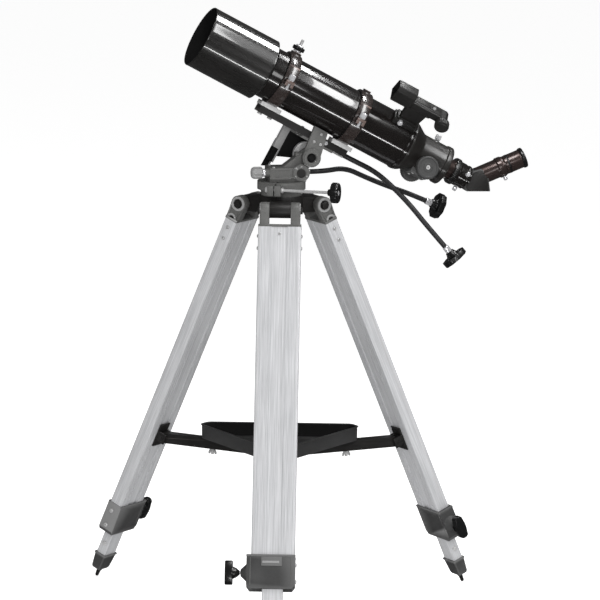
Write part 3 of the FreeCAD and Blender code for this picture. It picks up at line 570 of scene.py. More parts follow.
def hand_knob(name, place, body):
    """Ferrule, collar and round knob with three finger holes on a cable's end."""
    part = Piece(name + "_knob", body, "knob_black", [name + "_cable_knob"])
    part.lathe(place, CHROME, [(0, 0), (0, 6.2), (2, 6.5), (12, 6.5), (13, 6.1), (13, 0)], 0.4, 36)
    part.lathe(place, KNOB, [(12.5, 0), (12.5, 8.6), (15, 9), (20, 11.5), (23, 12.5), (23, 0)], 0.6, 48)
    scallops, scallop_depth, rim_radius, hole_out = 9, 1.696, 25.652, 17
    rim = []
    for x, y in polygon(108, 1):
        radius = rim_radius - scallop_depth * (0.5 - 0.5 * cos(scallops * atan2(y, x)))
        rim.append((x * radius, y * radius))
    holes = []
    for k in range(3):
        angle = radians(90 + 120 * k)
        middle = (hole_out * cos(angle), hole_out * sin(angle))
        holes.append([(middle[0] + x, middle[1] + y) for x, y in polygon(20, 4.6)])
    part.prism(place, KNOB, rim, "x", 23, 34, 1.3, 3, holes)
    part.lathe(place, KNOB, [(33, 0), (33, 9), (34.8, 8), (34.8, 0)], 0.6, 36)
    return part.done()


CABLE_RADIUS = 0.005


def cable(name, points, rider, knob_body):
    """Bent cable through the points, in metres, with its hand knob on the far end."""
    data = bpy.data.curves.new(name + "_cable_line", "CURVE")
    data.dimensions = "3D"
    spline = data.splines.new("NURBS")
    spline.points.add(len(points) - 1)
    for slot, point in zip(spline.points, points):
        slot.co = (*point, 1)
    spline.order_u = 3
    spline.use_endpoint_u = True
    data.resolution_u = 24
    data.bevel_depth = CABLE_RADIUS
    data.bevel_resolution = 8
    data.use_fill_caps = True
    obj = bpy.data.objects.new(name + "_cable_line", data)
    bpy.context.collection.objects.link(obj)
    data.materials.append(RUBBER)
    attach(obj, rider)
    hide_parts(name + "_cable")
    knob = hand_knob(name, aimed(points[-1], 2 * points[-1] - points[-2]), knob_body)


cable("azimuth", in_metres(HEAD, AZ_ROUTE), "head", "azimuth_knob")
cable("altitude", in_metres(TILT, ALT_START) + in_metres(HEAD, ALT_ROUTE), "saddle", "altitude_knob")


# ---------------------------------------------------------------- tripod
def extrusion_outline():
    """Upper leg section's outer outline: recessed middle panel and fine lines. Its two chambers and the
    middle channel are cut where the leg is built.
    """
    half = [(0, 11.6), (15.5, 11.6), (15.5, 13.5), (18.5, 13.5), (18.5, 12.9), (19.7, 12.9), (19.7, 13.5),
            (26.5, 13.5), (26.5, 13.0), (27.5, 13.0), (27.5, 13.5), (34, 13.5), (34, 13.0), (35, 13.0),
            (35, 13.5), (38.6, 13.5), (40.6, 12.7), (41.65, 10.5)]
    right = half + [(x, -y) for x, y in reversed(half)]
    left = [(-x, y) for x, y in reversed(right)]
    outline = []
    for point in right + left:
        if point not in outline:
            outline.append(point)
    return outline


def tripod():
    refined(("hub", DARK, 1.2), ("leg_heads", CAST, 1.6), ("tray_brackets", DARK, 0.8),
        ("tray_arms", DARK, 0.8), ("leg_collars", MOULD, 2.2))
    bolts = Piece("pivot_bolts", "tripod", "steel", ["leg_bolts"])
    trim = Piece("leg_head_trim", "tripod", "cast_black")
    screws = Piece("leg_screws", "tripod", "steel")
    collars = Piece("collar_trim", "tripod", "cast_black")
    nuts = Piece("tray_wing_nuts", "tripod", "steel", ["tray_bolts"])
    for name in LEGS:
        at = leg_frame(name)
        bolts.sleeve(at, STEEL, -43, 43, 0, 4, 0.4, 32)
        for side, axis in ((-1, "-x"), (1, "x")):
            out = facing(at, side * LEG_BOLT_OUT, 0, 0, axis)
            trim.sleeve(out, WORN, -1, 1.8, 9.6, 14.4, 0.5, 48)
            low = facing(at, side * LEG_BOLT_OUT, 2, -33, axis)
            trim.sleeve(low, WORN, -1, 1.8, 6.2, 10.4, 0.5, 40)
            for edge in (-1, 1):
                web = [(edge * 12.4, -4), (edge * 14.2, -4), (edge * 10 + 2, -30), (edge * 8.2 + 2, -30)]
                trim.prism(at, CAST, web, "x", *sorted((side * 36.5, side * 39.2)), 0.4)
            bolts.lathe(out, DARK, [(-1, 0), (-1, 8.5), (1, 8.5), (1.2, 5), (1.2, 0)], 0.3, 36)
            hex_head(bolts, out @ shift(1, 0, 0), 7.4, 5, DARK)
            hex_head(screws, low, 5, 3, DARK)
            for z in (-52, -76):
                pan_screw(screws, facing(at, side * 41.6, 0, z, axis), 3.6, 2.6)
        for x in (-38, 22):
            trim.block(at, CAST, x, x + 16, 12.4, 14.6, -33, 8, 0.8)
        pan_screw(screws, facing(at, 0, 11.6, -50, "y"), 3.0, 1.8)
        leg = Piece("leg_extrusion_" + name, "tripod", "leg_silver", ["upper_leg_" + name])
        chambers = [rectangle(-20.3, 20.3, -10.35, 10.35), rectangle(21.9, 40, -11.9, 11.9),
            rectangle(-40, -21.9, -11.9, 11.9)]
        leg.prism(at, ALLOY[name], extrusion_outline(), "z", -725, -36, 0, holes=chambers)
        leg.done()
        # collar: rim round its top, a raised plate on the outer face and two screws opposite the knob.
        collars.block(at, MOULD, -17, 22, 15.2, 17.0, -705, -686.8, 0.7)
        collars.block(at, WORN, -12, 20, 16.4, 17.5, -699.5, -695.5, 0.4)
        for y0, y1 in ((13.9, 16.4), (-16.4, -13.9)):
            collars.block(at, MOULD, -43.2, 50.8, y0, y1, -686.4, -682.6, 0.6)
            for x in (-35.6, 42.2):
                collars.block(at, CAST, x, x + 1.4, *sorted((0.98 * y0, y1)), -742, -688, 0.4)
        for z in (-700, -733):
            pan_screw(screws, facing(at, -42.4, 2, z, "-x"), 4.2, 3.2, BRIGHT)
        lower = Piece("leg_tube_" + name, "leg_" + name, "lower_leg_silver", ["lower_leg_" + name])
        lower.copy_of("lower_leg_" + name, ALLOY[name], 0)
        for side, axis in ((-1, "-x"), (1, "x")):
            lower.lathe(facing(at, side * 20, 0, -779, axis), BRIGHT, [(-1, 0), (-1, 4.5), (2.2, 4.5),
                (3.4, 3), (3.4, 0)], 0.5, 24)
        lower.done()
        shoe(name, at)
        lock_knob(name, at)
        bolt = facing(outward(name), 0, TRAY_BOLT_OUT, 309, "-z")
        nuts.lathe(facing(outward(name), 0, TRAY_BOLT_OUT, 311, "z"), STEEL,
            [(-2, 0), (-2, 3), (0, 6), (0, 2.2), (-1, 2.2), (-1, 0)], 0.1, 28)
        nuts.sleeve(bolt, STEEL, -3, 32, 0, 3, 0.3, 24)
        wing_nut(nuts, bolt @ shift(20.5, 0, 0), 0.95)
    for part in (bolts, trim, screws, collars, nuts):
        part.done()
    accessory_tray()


def shoe(name, at):
    """Plastic shoe on the leg's end with a stepped steel spike."""
    part = Piece("leg_shoe_" + name, "leg_" + name, "shoe_black", ["foot_" + name])
    corner_radius = 3
    rings = []
    for a, b, z in ((22, 12.5, -803), (21.2, 12, -810), (18.8, 10.4, -834), (17.2, 9.2, -838)):
        ring = []
        for cx, cy, start in ((1, 1, 0), (-1, 1, 90), (-1, -1, 180), (1, -1, 270)):
            x, y = cx * (a - corner_radius), cy * (b - corner_radius)
            for k in range(5):
                t = radians(start + 22.5 * k)
                ring.append((x + corner_radius * cos(t), y + corner_radius * sin(t), z))
        rings.append(ring)
    part.loft(at, MOULD, rings)
    part.block(at, MOULD, -22.6, 22.6, -13.1, 13.1, -806.5, -802.6, 0.8)
    sole, end_radius = 836, 3.5
    down = facing(at, 0, 0, -sole, "-z")
    end = SPIKE_END - sole + end_radius
    part.lathe(down, DARK, [(-2, 0), (-2, 9), (2, 8.4), (4, 6), (4, 0)], 0.5, 36)
    part.lathe(down, DARK, [(2, 0), (2, 5.8), (8, 5.6), (9, 4.2), (end - 4, 3.6), (end - 1.2, 2.6), (end, 0)],
        0.5, 36)
    part.done()


def lock_knob(name, at):
    """Clamp screw, cone and two-winged hand knob of a leg collar."""
    part = Piece("collar_knob_" + name, "leg_knob_" + name, "knob_black", ["leg_knob_" + name])
    along = facing(at, 0, 0, COLLAR_KNOB_AT, "x")
    part.sleeve(along, STEEL, 45, 66, 0, 3, 0.3, 24)
    part.lathe(along, KNOB, [(63, 0), (63, 3.6), (65, 5.4), (69, 9), (77, 12.3), (80, 12.3), (80, 0)], 0.6,
        48)
    tip_arc, tip_half_width = 75, 8.4
    wing = []
    for side in (1, -1):
        for k in range(7):
            t = radians(25 * k - tip_arc)
            across = tip_half_width * sin(t) / sin(radians(tip_arc))
            wing.append((side * across, side * (17.4 + 6.2 * cos(t))))
        wing += [(side * 10.6, side * 4), (side * 10.6, -side * 4)]
    part.prism(at @ shift(0, 0, COLLAR_KNOB_AT), KNOB, wing, "x", 76.2, 91.4, 2.0, 4)
    part.lathe(along, KNOB, [(89, 0), (89, 8), (91.2, 7), (91.2, 0)], 0.5, 40)
    part.done()


def accessory_tray():
    """Three-sided tray with a rolled lip, cut corners and a shallow rib round its floor."""
    tray = Piece("tray_shell", "tripod", "tray_black", ["accessory_tray"])
    half_side, side_out, corner_reach = 141, 98, 9

    def outline(inset, z):
        points = []
        for k in range(3):
            a = radians(-120 * k)
            for end in (-1, 1):
                x, y = end * (half_side - inset * 0.73), side_out - inset
                points.append(Vector((x * cos(a) - y * sin(a), x * sin(a) + y * cos(a))))
        result = []
        for i, corner in enumerate(points):
            before, after = points[i - 1], points[(i + 1) % 6]
            a = corner + (before - corner).normalized() * corner_reach
            b = corner + (after - corner).normalized() * corner_reach
            result += [(p.x, p.y, z) for p in corner_curve(a, corner, b, 5)]
        return result

    levels = [(3.0, 309.0), (1.0, 309.6), (0.2, 312), (0.0, 335.4), (-1.6, 336.2), (-1.8, 337.4),
        (-0.6, 338.0), (2.0, 337.8), (2.6, 336.5), (2.8, 313.5), (4.0, 311.6), (7.0, 311.0), (16, 311.0),
        (17, 312.0), (19.5, 312.0), (20.5, 311.0)]
    tray.loft(Matrix.Identity(4), TRAY, [outline(*level) for level in levels])
    # Painted shade: the wall's inner face takes the darker flat black, which stands in for the shade inside
    # the tray.
    tray.materials.append(FLAT)
    wall_low, wall_high = 312.5 * MM, 337 * MM
    for face in tray.bm.faces:
        middle = face.calc_center_median()
        inward = face.normal.x * middle.x + face.normal.y * middle.y < 0
        if inward and wall_low < middle.z < wall_high:
            face.material_index = 1
    centre = facing(Matrix.Identity(4), 0, 0, 311, "z")
    tray.sleeve(centre, TRAY, -1, 0.9, 14, 17, 0.3, 48)
    tray.done()


# ---------------------------------------------------------------- head
def head():
    refined(("azimuth_base", CAST, 1.2), ("azimuth_head", CAST, 1.0), ("saddle", CAST, 1.0),
            ("azimuth_wheel", STEEL, 0.3), ("azimuth_worm", STEEL, 0.3), ("altitude_worm", STEEL, 0.3),
            ("altitude_wheel", STEEL, 0.3), ("mounting_bar", DARK, 0.9), ("ring_feet", BRIGHT, 1.2))
    rod = Piece("clamp_rod", "azimuth_clamp", "steel", ["azimuth_clamp_rod"])
    rod.sleeve(CLAMP, STEEL, -15, 118, 0, 3, 0.4, 32)
    rod.sleeve(CLAMP, STEEL, 13.2, 17, 0, 5.2, 0.5, 32)
    rod.sleeve(CLAMP, STEEL, -18.5, -13.2, 0, 5.4, 0.5, 6)
    rod.done()
    knob = Piece("clamp_knob", "azimuth_clamp", "knob_black", ["azimuth_clamp_knob"])
    knob.lathe(CLAMP, KNOB, [(112, 0), (112, 13), (113.5, 19), (116, 20.3), (125, 20.3), (128, 18.4),
        (129, 13), (126.5, 9), (126.5, 0)], 1.0, 144, (18, 1.1, 18))
    knob.lathe(CLAMP, KNOB, [(106, 0), (106, 6), (112.5, 8), (112.5, 0)], 0.6, 36)
    knob.lathe(CLAMP, CHROME, [(126, 0), (126, 5), (127.6, 4.4), (127.6, 0)], 0.4, 24)
    knob.done()
    lock = facing(HEAD, -36.3, -16, 852, "-x")
    grip = Piece("altitude_lock_grip", "altitude_lock", "lock_grey", ["altitude_lock_knob"])
    grip.lathe(lock, WORN, [(5.5, 0), (5.5, 8), (7, 11.2), (9, 12), (22, 12), (26, 10), (27.7, 7), (26, 4.5),
        (26, 0)], 0.8, 96, (8, 1.9, 10.5))
    grip.lathe(lock, CHROME, [(0, 0), (0, 7.6), (1.2, 8), (5, 8), (5.6, 7), (5.6, 0)], 0.4, 48)
    grip.sleeve(lock, STEEL, -14, 1, 0, 3, 0.3, 24)
    grip.done()
    axle = Piece("altitude_pivot", "altitude_wheel", "steel", ["altitude_axle"])
    pivot = facing(HEAD, ALTITUDE_AXIS[0], -12.3, ALTITUDE_AXIS[1], "-y")
    axle.sleeve(pivot, STEEL, -58, 15, 0, 5, 0.3, 32)
    axle.sleeve(pivot, STEEL, 0, 4.4, 5, 10, 0.3, 48)
    axle.lathe(pivot, FLAT, [(15, 0), (15, 8.6), (15.6, 8.6), (15.6, 6.2), (17, 5.6), (17, 0)], 0.3, 48)
    hex_head(axle, facing(HEAD, ALTITUDE_AXIS[0], 42.3, ALTITUDE_AXIS[1], "y"), 9, 6)
    axle.done()
    trim = Piece("head_trim", "head", "head_grey")
    cap = facing(HEAD, 33, -28, 851, "-y")
    trim.sleeve(cap, CAST, -1, 1.2, 10, 15.6, 0.4, 56)
    trim.lathe(cap, DARK, [(-1, 0), (-1, 8.6), (0.9, 8.6), (1.3, 7), (1.3, 0)], 0.4, 48)
    for k in range(3):
        a = radians(90 + 120 * k)
        pan_screw(trim, cap @ shift(0, 12.8 * cos(a), 12.8 * sin(a)), 1.9, 2.4)
    for z0, z1 in ((838, 842), (857, 860)):
        trim.block(HEAD, CAST, -26, 12, -26.2, -24.5, z0, z1, 0.6)
    for x, y in ((-20, -20), (-20, 20), (36, -20), (36, 20)):
        pan_screw(trim, facing(HEAD, x, y, 861.5, "z"), 2.8, 2.0)
    trim.lathe(facing(HEAD, 44, 18, 847.5, "x"), CAST, [(-1, 5), (-1, 8.5), (2.2, 7.6), (2.2, 5)], 0.5, 40)
    trim.done()
    plate = Piece("saddle_trim", "saddle", "head_grey")
    for s, n, r in ((-4, 49, 2.8), (-10, 30, 2.8), (4, 31, 2.8), (-3, 16, 2.2)):
        pan_screw(plate, facing(TILT, s, -25, n, "-y"), r, 1.9)
    pan_screw(plate, facing(TILT, 14, -16.5, 38, "-y"), 4.2, 3.4, CHROME)
    plate.lathe(facing(TILT, 0, -31, 0, "-y"), CAST, [(-1, 10.5), (-1, 16.2), (1.6, 15.6), (1.6, 10.5)], 0.6,
        56)
    plate.block(TILT, CAST, -20, 5, -26, -24.6, 54, 57.5, 0.5)
    for s in (-31, 31):
        pan_screw(plate, facing(TILT, s, 25, 44, "z"), 3.2, 2.4)
    for s in RINGS.values():
        for offset in (-8, 14):
            hex_head(plate, facing(TILT, s + offset, 0, 31, "-z"), 5.2, 3.6)
    # Front arm of the saddle in light grey paint. The flat black pieces on its lower front, and the thin flat
    # black sheet between it and the pivot, are painted shade, not dark parts.
    plate.block(TILT, WORN, -62.4, -47.7, 33.5, 48.3, -16, 44.3, 0.9)
    plate.block(TILT, FLAT, -62.3, -51, 33.6, 48.2, -44.2, -15.6, 0.7)
    plate.block(TILT, WORN, -51, -47.8, 33.5, 48.2, -44.2, -15.8, 0.4)
    plate.prism(TILT, FLAT, [(-62.2, -60), (-51, -54.6), (-51, -15.6), (-62.2, -15.6)], "y", 47.3, 52.6, 0.4)
    plate.prism(TILT, WORN, [(-51, -54.3), (-47.8, -53), (-47.8, -15.8), (-51, -15.8)], "y", 47.3, 52.6, 0.3)
    plate.prism(TILT, FLAT, [(-48, -30), (-10, -15), (-10, 26), (-48, 26)], "y", 33.4, 34.4, 0.2)
    plate.done()


# ---------------------------------------------------------------- tube and rings
def rings():
    for name, station in RINGS.items():
        refined(("ring_lower_" + name, RING, 0.8), ("ring_upper_" + name, RING, 0.8))
        s0, s1 = station - 12, station + 12
        for half, body, sweep in (("lower", "saddle", 91.0), ("upper", "ring_" + name, -89.0)):
            felt = Piece("ring_felt_" + half + "_" + name, body, "ring_black")
            felt.lathe(TUBE, FLAT, [(s0 - 1.2, 50.9), (s1 + 1.2, 50.9), (s1 + 1.2, 52.2), (s0 - 1.2, 52.2)],
                0.2, 72, arc=178.0, sweep=sweep)
            felt.done()
        screw = Piece("ring_clamp_" + name, "ring_screw_" + name, "chrome", ["ring_screw_" + name])
        up = facing(TUBE, station, -63, 0, "z")
        screw.sleeve(up, CHROME, -13, 8, 0, 3, 0.4, 24)
        screw.lathe(up, CHROME, [(6.4, 0), (6.4, 5), (8, 6.4), (17, 6.4), (18.6, 5.4), (18.6, 3.4),
            (17.4, 2.6), (17.4, 0)], 0.5, 120, (20, 0.55, 6))
        screw.sleeve(up, CHROME, 4.5, 6.4, 0, 5.2, 0.3, 36)
        screw.done()
    stud = Piece("camera_stud_wheel", "camera_screw", "chrome", ["camera_screw"])
    up = facing(TUBE, RINGS["front"], 0, 0, "z")
    wheel_low, wheel_high = 62, 76
    thread = [(53, 0), (53, 2.7)]
    for base in [60.5 + k for k in range(27)]:
        if not wheel_low < base < wheel_high:
            thread += [(base, 2.75), (base + 0.5, 3.17)]
    thread += [(87, 2.6), (87, 0)]
    stud.lathe(up, STEEL, thread, 0, 32)
    stud.lathe(up, CHROME, [(60.3, 0), (60.3, 7.6), (61, 8), (63.6, 8), (64, 7), (64, 0)], 0.3, 48)
    stud.lathe(up, KNOB, [(64, 0), (64, 11), (65, 12.3), (71, 12.3), (72, 11), (72, 0)], 0.5, 120,
        (24, 0.6, 11.5))
    stud.lathe(up, CHROME, [(71.8, 0), (71.8, 8), (74.2, 8), (75, 7), (75, 0)], 0.4, 6)
    stud.done()


def optics():
    shield = Piece("shield_shell", "dew_shield", "tube_gloss_black", ["dew_shield"])
    shield.lathe(TUBE, SHIELD, [(-303, 60.9), (-303, 61.4), (-302.2, 62), (-299, 62), (-298.6, 61.8),
        (-163, 61.8), (-162.4, 62), (-161.4, 62), (-161, 61.4), (-161, 60.6)], 0.15, 160)
    shield.lathe(TUBE, FLAT, [(-303, 60.9), (-302.4, 60.2), (-161, 60.05), (-161, 60.7), (-300, 60.9)], 0,
        160)
    shield.done()
    cell = Piece("objective_cell", "tube", "lens_cell_black", ["lens_cell"])
    cell.lathe(TUBE, FLAT, [(-203, 51.2), (-182, 51.2), (-182, 49), (-175, 49), (-175, 50.8), (-161, 50.8),
        (-161, 55), (-166, 59.6), (-203, 59.6)], 0.5, 144)
    cell.lathe(TUBE, FLAT, [(-204.5, 48), (-204.5, 55), (-202.6, 55.4), (-202.6, 48)], 0.3, 144,
        (24, 0.5, 54))
    cell.done()
    lens = Piece("objective_glass", "tube", "glass", ["objective_lenses"])

    def curved(station, bulge):
        return [(station + bulge * (k / 10) ** 2, 5.1 * k) for k in range(11)]

    lens.lathe(TUBE, GLASS, curved(-202, 5) + curved(-188.5, -5)[::-1], 0, 96)
    lens.lathe(TUBE, GLASS, curved(-188, -5) + [(-183, 51), (-183, 0)], 0, 96)
    lens.done()
    barrel = Piece("tube_shell", "tube", "tube_gloss_black", ["tube"])
    barrel.sleeve(TUBE, GLOSS, -175, 155, 49, 50.8, 0.2, 160)
    barrel.lathe(TUBE, SHIELD, [(-161.5, 50.6), (-161.5, 54.5), (-157, 54), (-154.5, 51.4), (-154.5, 50.6)],
        0.6, 144)
    barrel.done()


def focuser():
    body = Piece("focuser_body", "tube", "lens_cell_black", ["focuser"])
    body.lathe(FOCUS, SATIN, [(142, 44), (186, 32), (196, 32), (196, 19.75), (252, 19.75), (252, 37.2),
        (250, 39), (241, 39), (239, 37), (188, 37), (183, 39), (168, 48.6), (163, 51.3), (155, 51.5),
        (155, 49), (142, 49)], 0.9, 144)
    body.block(FOCUS, MOULD, 189, 227, -17, 17, -43.5, -30, 2.2, 3)
    for side, axis in ((-1, "-y"), (1, "y")):
        body.lathe(facing(FOCUS, PINION[0], side * 16, PINION[1], axis), MOULD, [(0, 3.2), (0, 11), (13, 10),
            (15.8, 9), (15.8, 3.2)], 0.8, 48)
    for s in (196, 220):
        for t in (-11, 11):
            pan_screw(body, facing(FOCUS, s, t, -43.5, "-z"), 2.4, 1.6)
    for k in range(3):
        spot = FOCUS @ turn("X", 120 * k + 60)
        pan_screw(body, facing(spot, 159, 0, 51.3, "z"), 2.4, 1.5)
    body.lathe(FOCUS, GLOSS, [(151, 50.6), (151, 52.2), (153, 52.6), (157, 52.6), (159, 51.6), (159, 50.6)],
        0.4, 144)
    body.lathe(facing(FOCUS, 216, 0, 0, "z"), MOULD, [(34, 2.6), (34, 6.6), (38.2, 6), (38.2, 2.6)], 0.4, 36)
    body.done()
    lock = Piece("focus_lock_knob", "focus_lock", "chrome", ["focus_lock_screw"])
    up = facing(FOCUS, 216, 0, 0, "z")
    lock.sleeve(up, CHROME, 20.3, 41, 0, 2.5, 0.3, 24)
    lock.lathe(up, CHROME, [(40, 0), (40, 4.6), (41, 6), (48.6, 6), (50, 5), (50, 0)], 0.5, 96,
        (16, 0.5, 5.5))
    lock.done()
    refined(("focus_shaft", STEEL, 0.2))
    knobs = Piece("focus_wheels", "focus", "knob_black", ["focus_knobs"])
    for side, axis in ((-1, "-y"), (1, "y")):
        out = facing(FOCUS, PINION[0], 0, PINION[1], axis)
        knobs.lathe(out, KNOB, [(32.5, 0), (32.5, 7.6), (38.5, 8), (38.5, 0)], 0.4, 48)
        knobs.lathe(out, MOULD, [(38, 0), (38, 19), (39.6, 22.4), (41, 23), (50.6, 23), (52.4, 21.6),
            (53, 19.5), (53, 18.6), (51.6, 17.4), (51.6, 9.4), (52.6, 8.4), (52.6, 0)], 0.5, 180,
            (36, 0.7, 22))
        knobs.lathe(out, STEEL, [(52.2, 0), (52.2, 4.4), (53, 3.8), (53, 2), (52.6, 1.6), (52.6, 0)], 0.3, 36)
    knobs.done()
    draw = Piece("draw_barrel", "drawtube", "chrome", ["drawtube"])
    draw.sleeve(FOCUS, WARM, 150, 273, 17.7, 19.7, 0.3, 96)
    teeth = [(150, -19)]
    for foot in range(150, 262, 2):
        teeth += [(foot, -21.4), (foot + 0.6, -22.2), (foot + 1.2, -22.2), (foot + 1.8, -21.4)]
    teeth += [(262, -21.4), (262, -19)]
    draw.prism(FOCUS, STEEL, teeth, "y", -3.5, 3.5, 0)
    draw.done()
    collar = Piece("eyepiece_holder", "drawtube", "eyepiece_black", ["drawtube_collar"])
    collar.lathe(TUBE, GLOSS, [(266, 19.7), (273, 19.7), (273, 15.93), (303, 15.93), (303, 22.4), (301, 24),
        (297, 24), (296, 23.2), (292, 23.2), (291, 24), (281, 24), (279, 24.6), (277.4, 26.4), (268, 26.4),
        (266, 25)], 0.6, 120)
    collar.sleeve(TUBE, KNOB, 268.4, 276.6, 24, 26.8, 0.3, 180, (45, 0.5, 26.5))
    for roll in (75, 195):
        out = facing(TUBE @ turn("X", roll), 294, 0, 0, "z")
        collar.sleeve(out, CHROME, 20, 26, 0, 2, 0.2, 20)
        collar.lathe(out, CHROME, [(25.6, 0), (25.6, 3.8), (26.4, 4.4), (33, 4.4), (34, 3.4), (34, 0)], 0.4,
            72, (14, 0.45, 4))
    collar.done()


def eyepiece():
    case = Piece("diagonal_case", "diagonal", "diagonal_black", ["diagonal"])
    outline = [(303.4, 17), (317, 30), (337, 22), (354, -1), (311, -23), (303.4, -17)]
    case.prism(TUBE, MOULD, outline, "y", -17.2, 17.2, 1.6, 3)
    inner = [(305.4, 14.6), (317.6, 27), (335, 20), (350.4, -1), (312, -20.6), (305.4, -15)]
    for side in (-1, 1):
        case.prism(TUBE, DARK, inner, "y", *sorted((side * 16, side * 19.4)), 0.9, 2)
    case.sleeve(TUBE, GLOSS, 280, 304, 13, 15.875, 0.3, 72)
    case.lathe(TUBE, GLOSS, [(303.2, 13), (303.2, 19.6), (307, 19.6), (309, 17), (309, 13)], 0.6, 72)
    case.lathe(EYE, WARM, [(16, 15.95), (16, 18.4), (58, 18.6), (60, 20.4), (70, 20.4), (71.6, 19),
        (74, 18.8), (74, 15.95)], 0.6, 96)
    for angle in (150, 270):
        out = facing(EYE @ turn("X", angle), 65, 0, 0, "z")
        case.sleeve(out, CHROME, 17, 22, 0, 1.8, 0.2, 20)
        case.lathe(out, CHROME, [(21.5, 0), (21.5, 3.4), (22.4, 4), (27.6, 4), (28.6, 3), (28.6, 0)], 0.4, 72,
            (14, 0.4, 3.6))
    case.done()
    eye = Piece("eyepiece_body", "eyepiece", "eyepiece_black", ["eyepiece"])
    eye.sleeve(EYE, CHROME, 46, 76, 13.4, 15.875, 0.3, 72)
    eye.lathe(EYE, WARM, [(74.3, 14), (74.3, 17.6), (75.4, 18.4), (108, 18.4), (110, 17.6), (110, 14)], 0.5,
        96)
    eye.sleeve(EYE, KNOB, 80, 84, 17, 18.9, 0.3, 160, (40, 0.4, 18.6))
    eye.lathe(EYE, KNOB, [(109, 9), (109, 19), (111, 20.3), (115.6, 20.3), (117, 19.2), (116.4, 14),
        (112, 10), (110, 9)], 0.7, 96)
    eye.lathe(EYE, GLASS, [(107, 0), (107, 9.6), (109.4, 9.6), (110.6, 6), (111, 0)], 0.2, 64)
    eye.sleeve(EYE, FLAT, 60, 105, 0, 14, 0.2, 48)
    eye.done()


def finder():
    refined(("finder_shoe", DARK, 0.8))
    body = Piece("finder_body", "tube", "finder_black", ["finder"])
    body.prism(FINDER, DARK, [(112, 60), (150, 60), (155, 101), (109, 101)], "y", -7.6, 7.6, 1.4, 2)
    body.block(FINDER, DARK, 106, 150, -11, 11, 58, 66, 1.2)
    body.prism(FINDER, DARK, [(98, 100), (178, 100), (186, 96), (192, 100), (192, 112), (186, 116),
        (98, 116)], "y", -13, 13, 1.6, 3)
    body.block(FINDER, DARK, 112, 176, -9.5, 9.5, 115, 117.2, 0.8)
    body.block(FINDER, DARK, 118, 150, -5, 5, 116.6, 118.4, 0.7)
    hood = [(-16, 98), (16, 98), (16, 126), (9, 134), (-9, 134), (-16, 126)]
    window = [(-13.4, 101), (13.4, 101), (13.4, 124.5), (7.8, 131), (-7.8, 131), (-13.4, 124.5)]
    body.prism(FINDER, DARK, hood, "x", 70, 112, 1.2, 3, [window])
    body.prism(FINDER, GLASS, window, "x", 100, 102, 0.2)
    body.block(FINDER, KNOB, 70, 112, -13.6, 13.6, 99, 102.5, 0.4)
    pan_screw(body, facing(FINDER, 158, 0, 117, "z"), 3.4, 2.6)
    body.lathe(facing(FINDER, 118, -8, 57, "-y"), CHROME, [(0, 0), (0, 4), (2, 5.4), (9, 5.4), (10, 4.4),
        (10, 0)], 0.5, 96, (16, 0.5, 5))
    body.lathe(facing(FINDER, 156, 0, 96, "-z"), DARK, [(-3, 0), (-3, 7), (3, 7), (4, 6), (4, 0)], 0.5, 96,
        (20, 0.6, 6.6))
    body.done()
    dial = Piece("finder_wheel", "finder_dial", "finder_black", ["finder_dial"])
    dial.lathe(facing(FINDER, 184, 0, 106, "-y"), DARK, [(13.3, 0), (13.3, 13.6), (14.6, 14.6), (25.4, 14.6),
        (27, 13.4), (27.4, 10.6), (29, 9.8), (29, 0)], 0.6, 144, (24, 0.7, 14))
    dial.done()
    prism = Piece("diagonal_glass", "diagonal", "glass", ["diagonal_prism"])
    prism.copy_of("diagonal_prism", GLASS, 0.3).done()


tripod()
head()
rings()
optics()
focuser()
eyepiece()
finder()


# ---------------------------------------------------------------- stage
SEEN_WHITE = 1.0     # the surroundings as seen by the camera, as a light, and in reflections
AMBIENT = 0.45
REFLECTED = 0.05
FLOOR_GLOW = 0.6
SOFTBOX_OUT = 2.0
# Name, barrel, angle from the front to the top, station, width, height (metres) and watts.
SOFTBOXES = (("shield_box", TUBE, 97, 0.255, 0.11, 0.75, 17), ("tube_box", TUBE, 54, 0.46, 0.31, 1.2, 16),
             ("rear_box", TUBE, 58, 0.735, 0.2, 1.2, 4), ("low_strip", TUBE, -26, 0.45, 1.3, 0.09, 8),
             ("eye_box", EYE, 50, 0.37, 0.35, 0.8, 12))


def floor():
    """Pale glowing floor just under the feet, left out of reflections."""
    bm = bmesh.new()
    corners = [bm.verts.new((x, y, -0.0002)) for x, y in ((-30, -8), (30, -8), (30, 60), (-30, 60))]
    bm.faces.new(corners)
    mesh = bpy.data.meshes.new("floor")
    bm.to_mesh(mesh)
    bm.free()
    obj = bpy.data.objects.new("floor", mesh)
    n = Nodes("pale_floor")
    fine = n.noise(n.place(), 60.0, 4.0)
    n.link(n.ramp(fine, (0.83, 0.83, 0.83, 1), (0.86, 0.86, 0.86, 1)), n.shader.inputs["Base Color"])
    n.shader.inputs["Roughness"].default_value = 0.9
    n.shader.inputs["Emission Color"].default_value = (1, 1, 1, 1)
    n.shader.inputs["Emission Strength"].default_value = FLOOR_GLOW
    mesh.materials.append(n.mat)
    bpy.context.collection.objects.link(obj)
    obj.visible_glossy = False


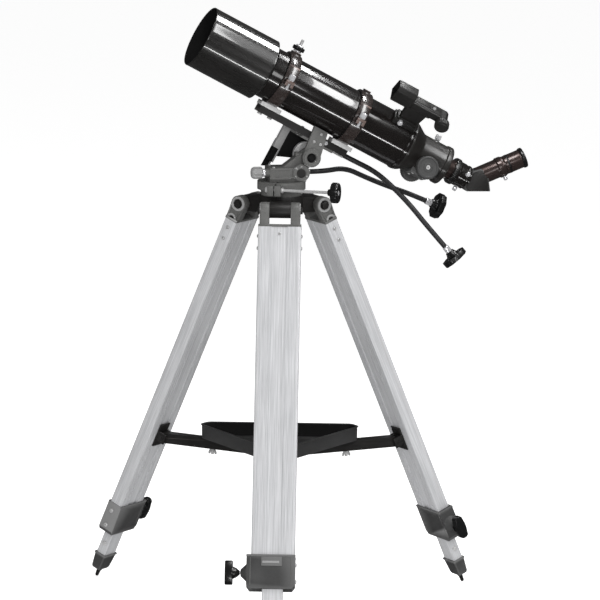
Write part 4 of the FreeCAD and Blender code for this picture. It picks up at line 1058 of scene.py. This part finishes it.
def soft_light(name, at, target, width, height, watts, along=None):
    """Rectangular lamp facing the target. Its width runs along the given direction, or level."""
    data = bpy.data.lights.new(name, "AREA")
    data.shape = "RECTANGLE"
    data.size, data.size_y = width, height
    data.energy = watts
    obj = bpy.data.objects.new(name, data)
    back = (Vector(at) - Vector(target)).normalized()
    side = Vector(along) if along else Vector((0, 0, 1)).cross(back)
    side = (side - back * side.dot(back)).normalized()
    turned = Matrix((side, back.cross(side), back)).transposed().to_4x4()
    obj.matrix_world = Matrix.Translation(at) @ turned
    obj.visible_camera = False
    bpy.context.collection.objects.link(obj)
    return obj


def surroundings():
    """White to the eye, softer as a light, and dim in reflections so that black gloss stays black."""
    world = bpy.data.worlds.new("studio")
    world.use_nodes = True
    tree = world.node_tree
    ground = tree.nodes["Background"]
    ground.inputs["Color"].default_value = (1, 1, 1, 1)
    path = tree.nodes.new("ShaderNodeLightPath")
    seen = tree.nodes.new("ShaderNodeMath")
    seen.operation = "MULTIPLY_ADD"
    seen.inputs[1].default_value = SEEN_WHITE - AMBIENT
    seen.inputs[2].default_value = AMBIENT
    tree.links.new(path.outputs["Is Camera Ray"], seen.inputs[0])
    dimmed = tree.nodes.new("ShaderNodeMath")
    dimmed.operation = "MULTIPLY_ADD"
    dimmed.inputs[1].default_value = REFLECTED - AMBIENT
    tree.links.new(path.outputs["Is Glossy Ray"], dimmed.inputs[0])
    tree.links.new(seen.outputs[0], dimmed.inputs[2])
    tree.links.new(dimmed.outputs[0], ground.inputs["Strength"])
    bpy.context.scene.world = world


def tube_light(name, place, angle, station, width, height, watts):
    """Softbox beside a barrel, its width along the barrel."""
    axis = (place.to_3x3() @ Vector((1, 0, 0))).normalized()
    near = bpy.context.scene.camera.matrix_world.translation - place.translation
    near = (near - axis * near.dot(axis)).normalized()
    out = near * cos(radians(angle)) + near.cross(axis) * sin(radians(angle))
    middle = place.translation + axis * station
    soft_light(name, middle + out * SOFTBOX_OUT, middle, width, height, watts, axis)


def fill_light(name, at, target, width, height, watts):
    """Lamp that lights paint and metal but shows no highlight of its own."""
    soft_light(name, at, target, width, height, watts).visible_glossy = False


floor()
surroundings()
for box in SOFTBOXES:
    tube_light(*box)
fill_light("front_fill", (-0.6, -5.0, 2.4), (0, 0, 0.5), 2.6, 2.0, 170)
fill_light("top_fill", (1.5, 0.5, 3.2), (0, 0, 0.8), 1.6, 1.6, 25)
soft_light("face_box", (1.6, -4.2, 1.6), (0.05, 0, 0.7), 0.7, 1.4, 12)
bpy.context.scene.view_settings.view_transform = "Standard"
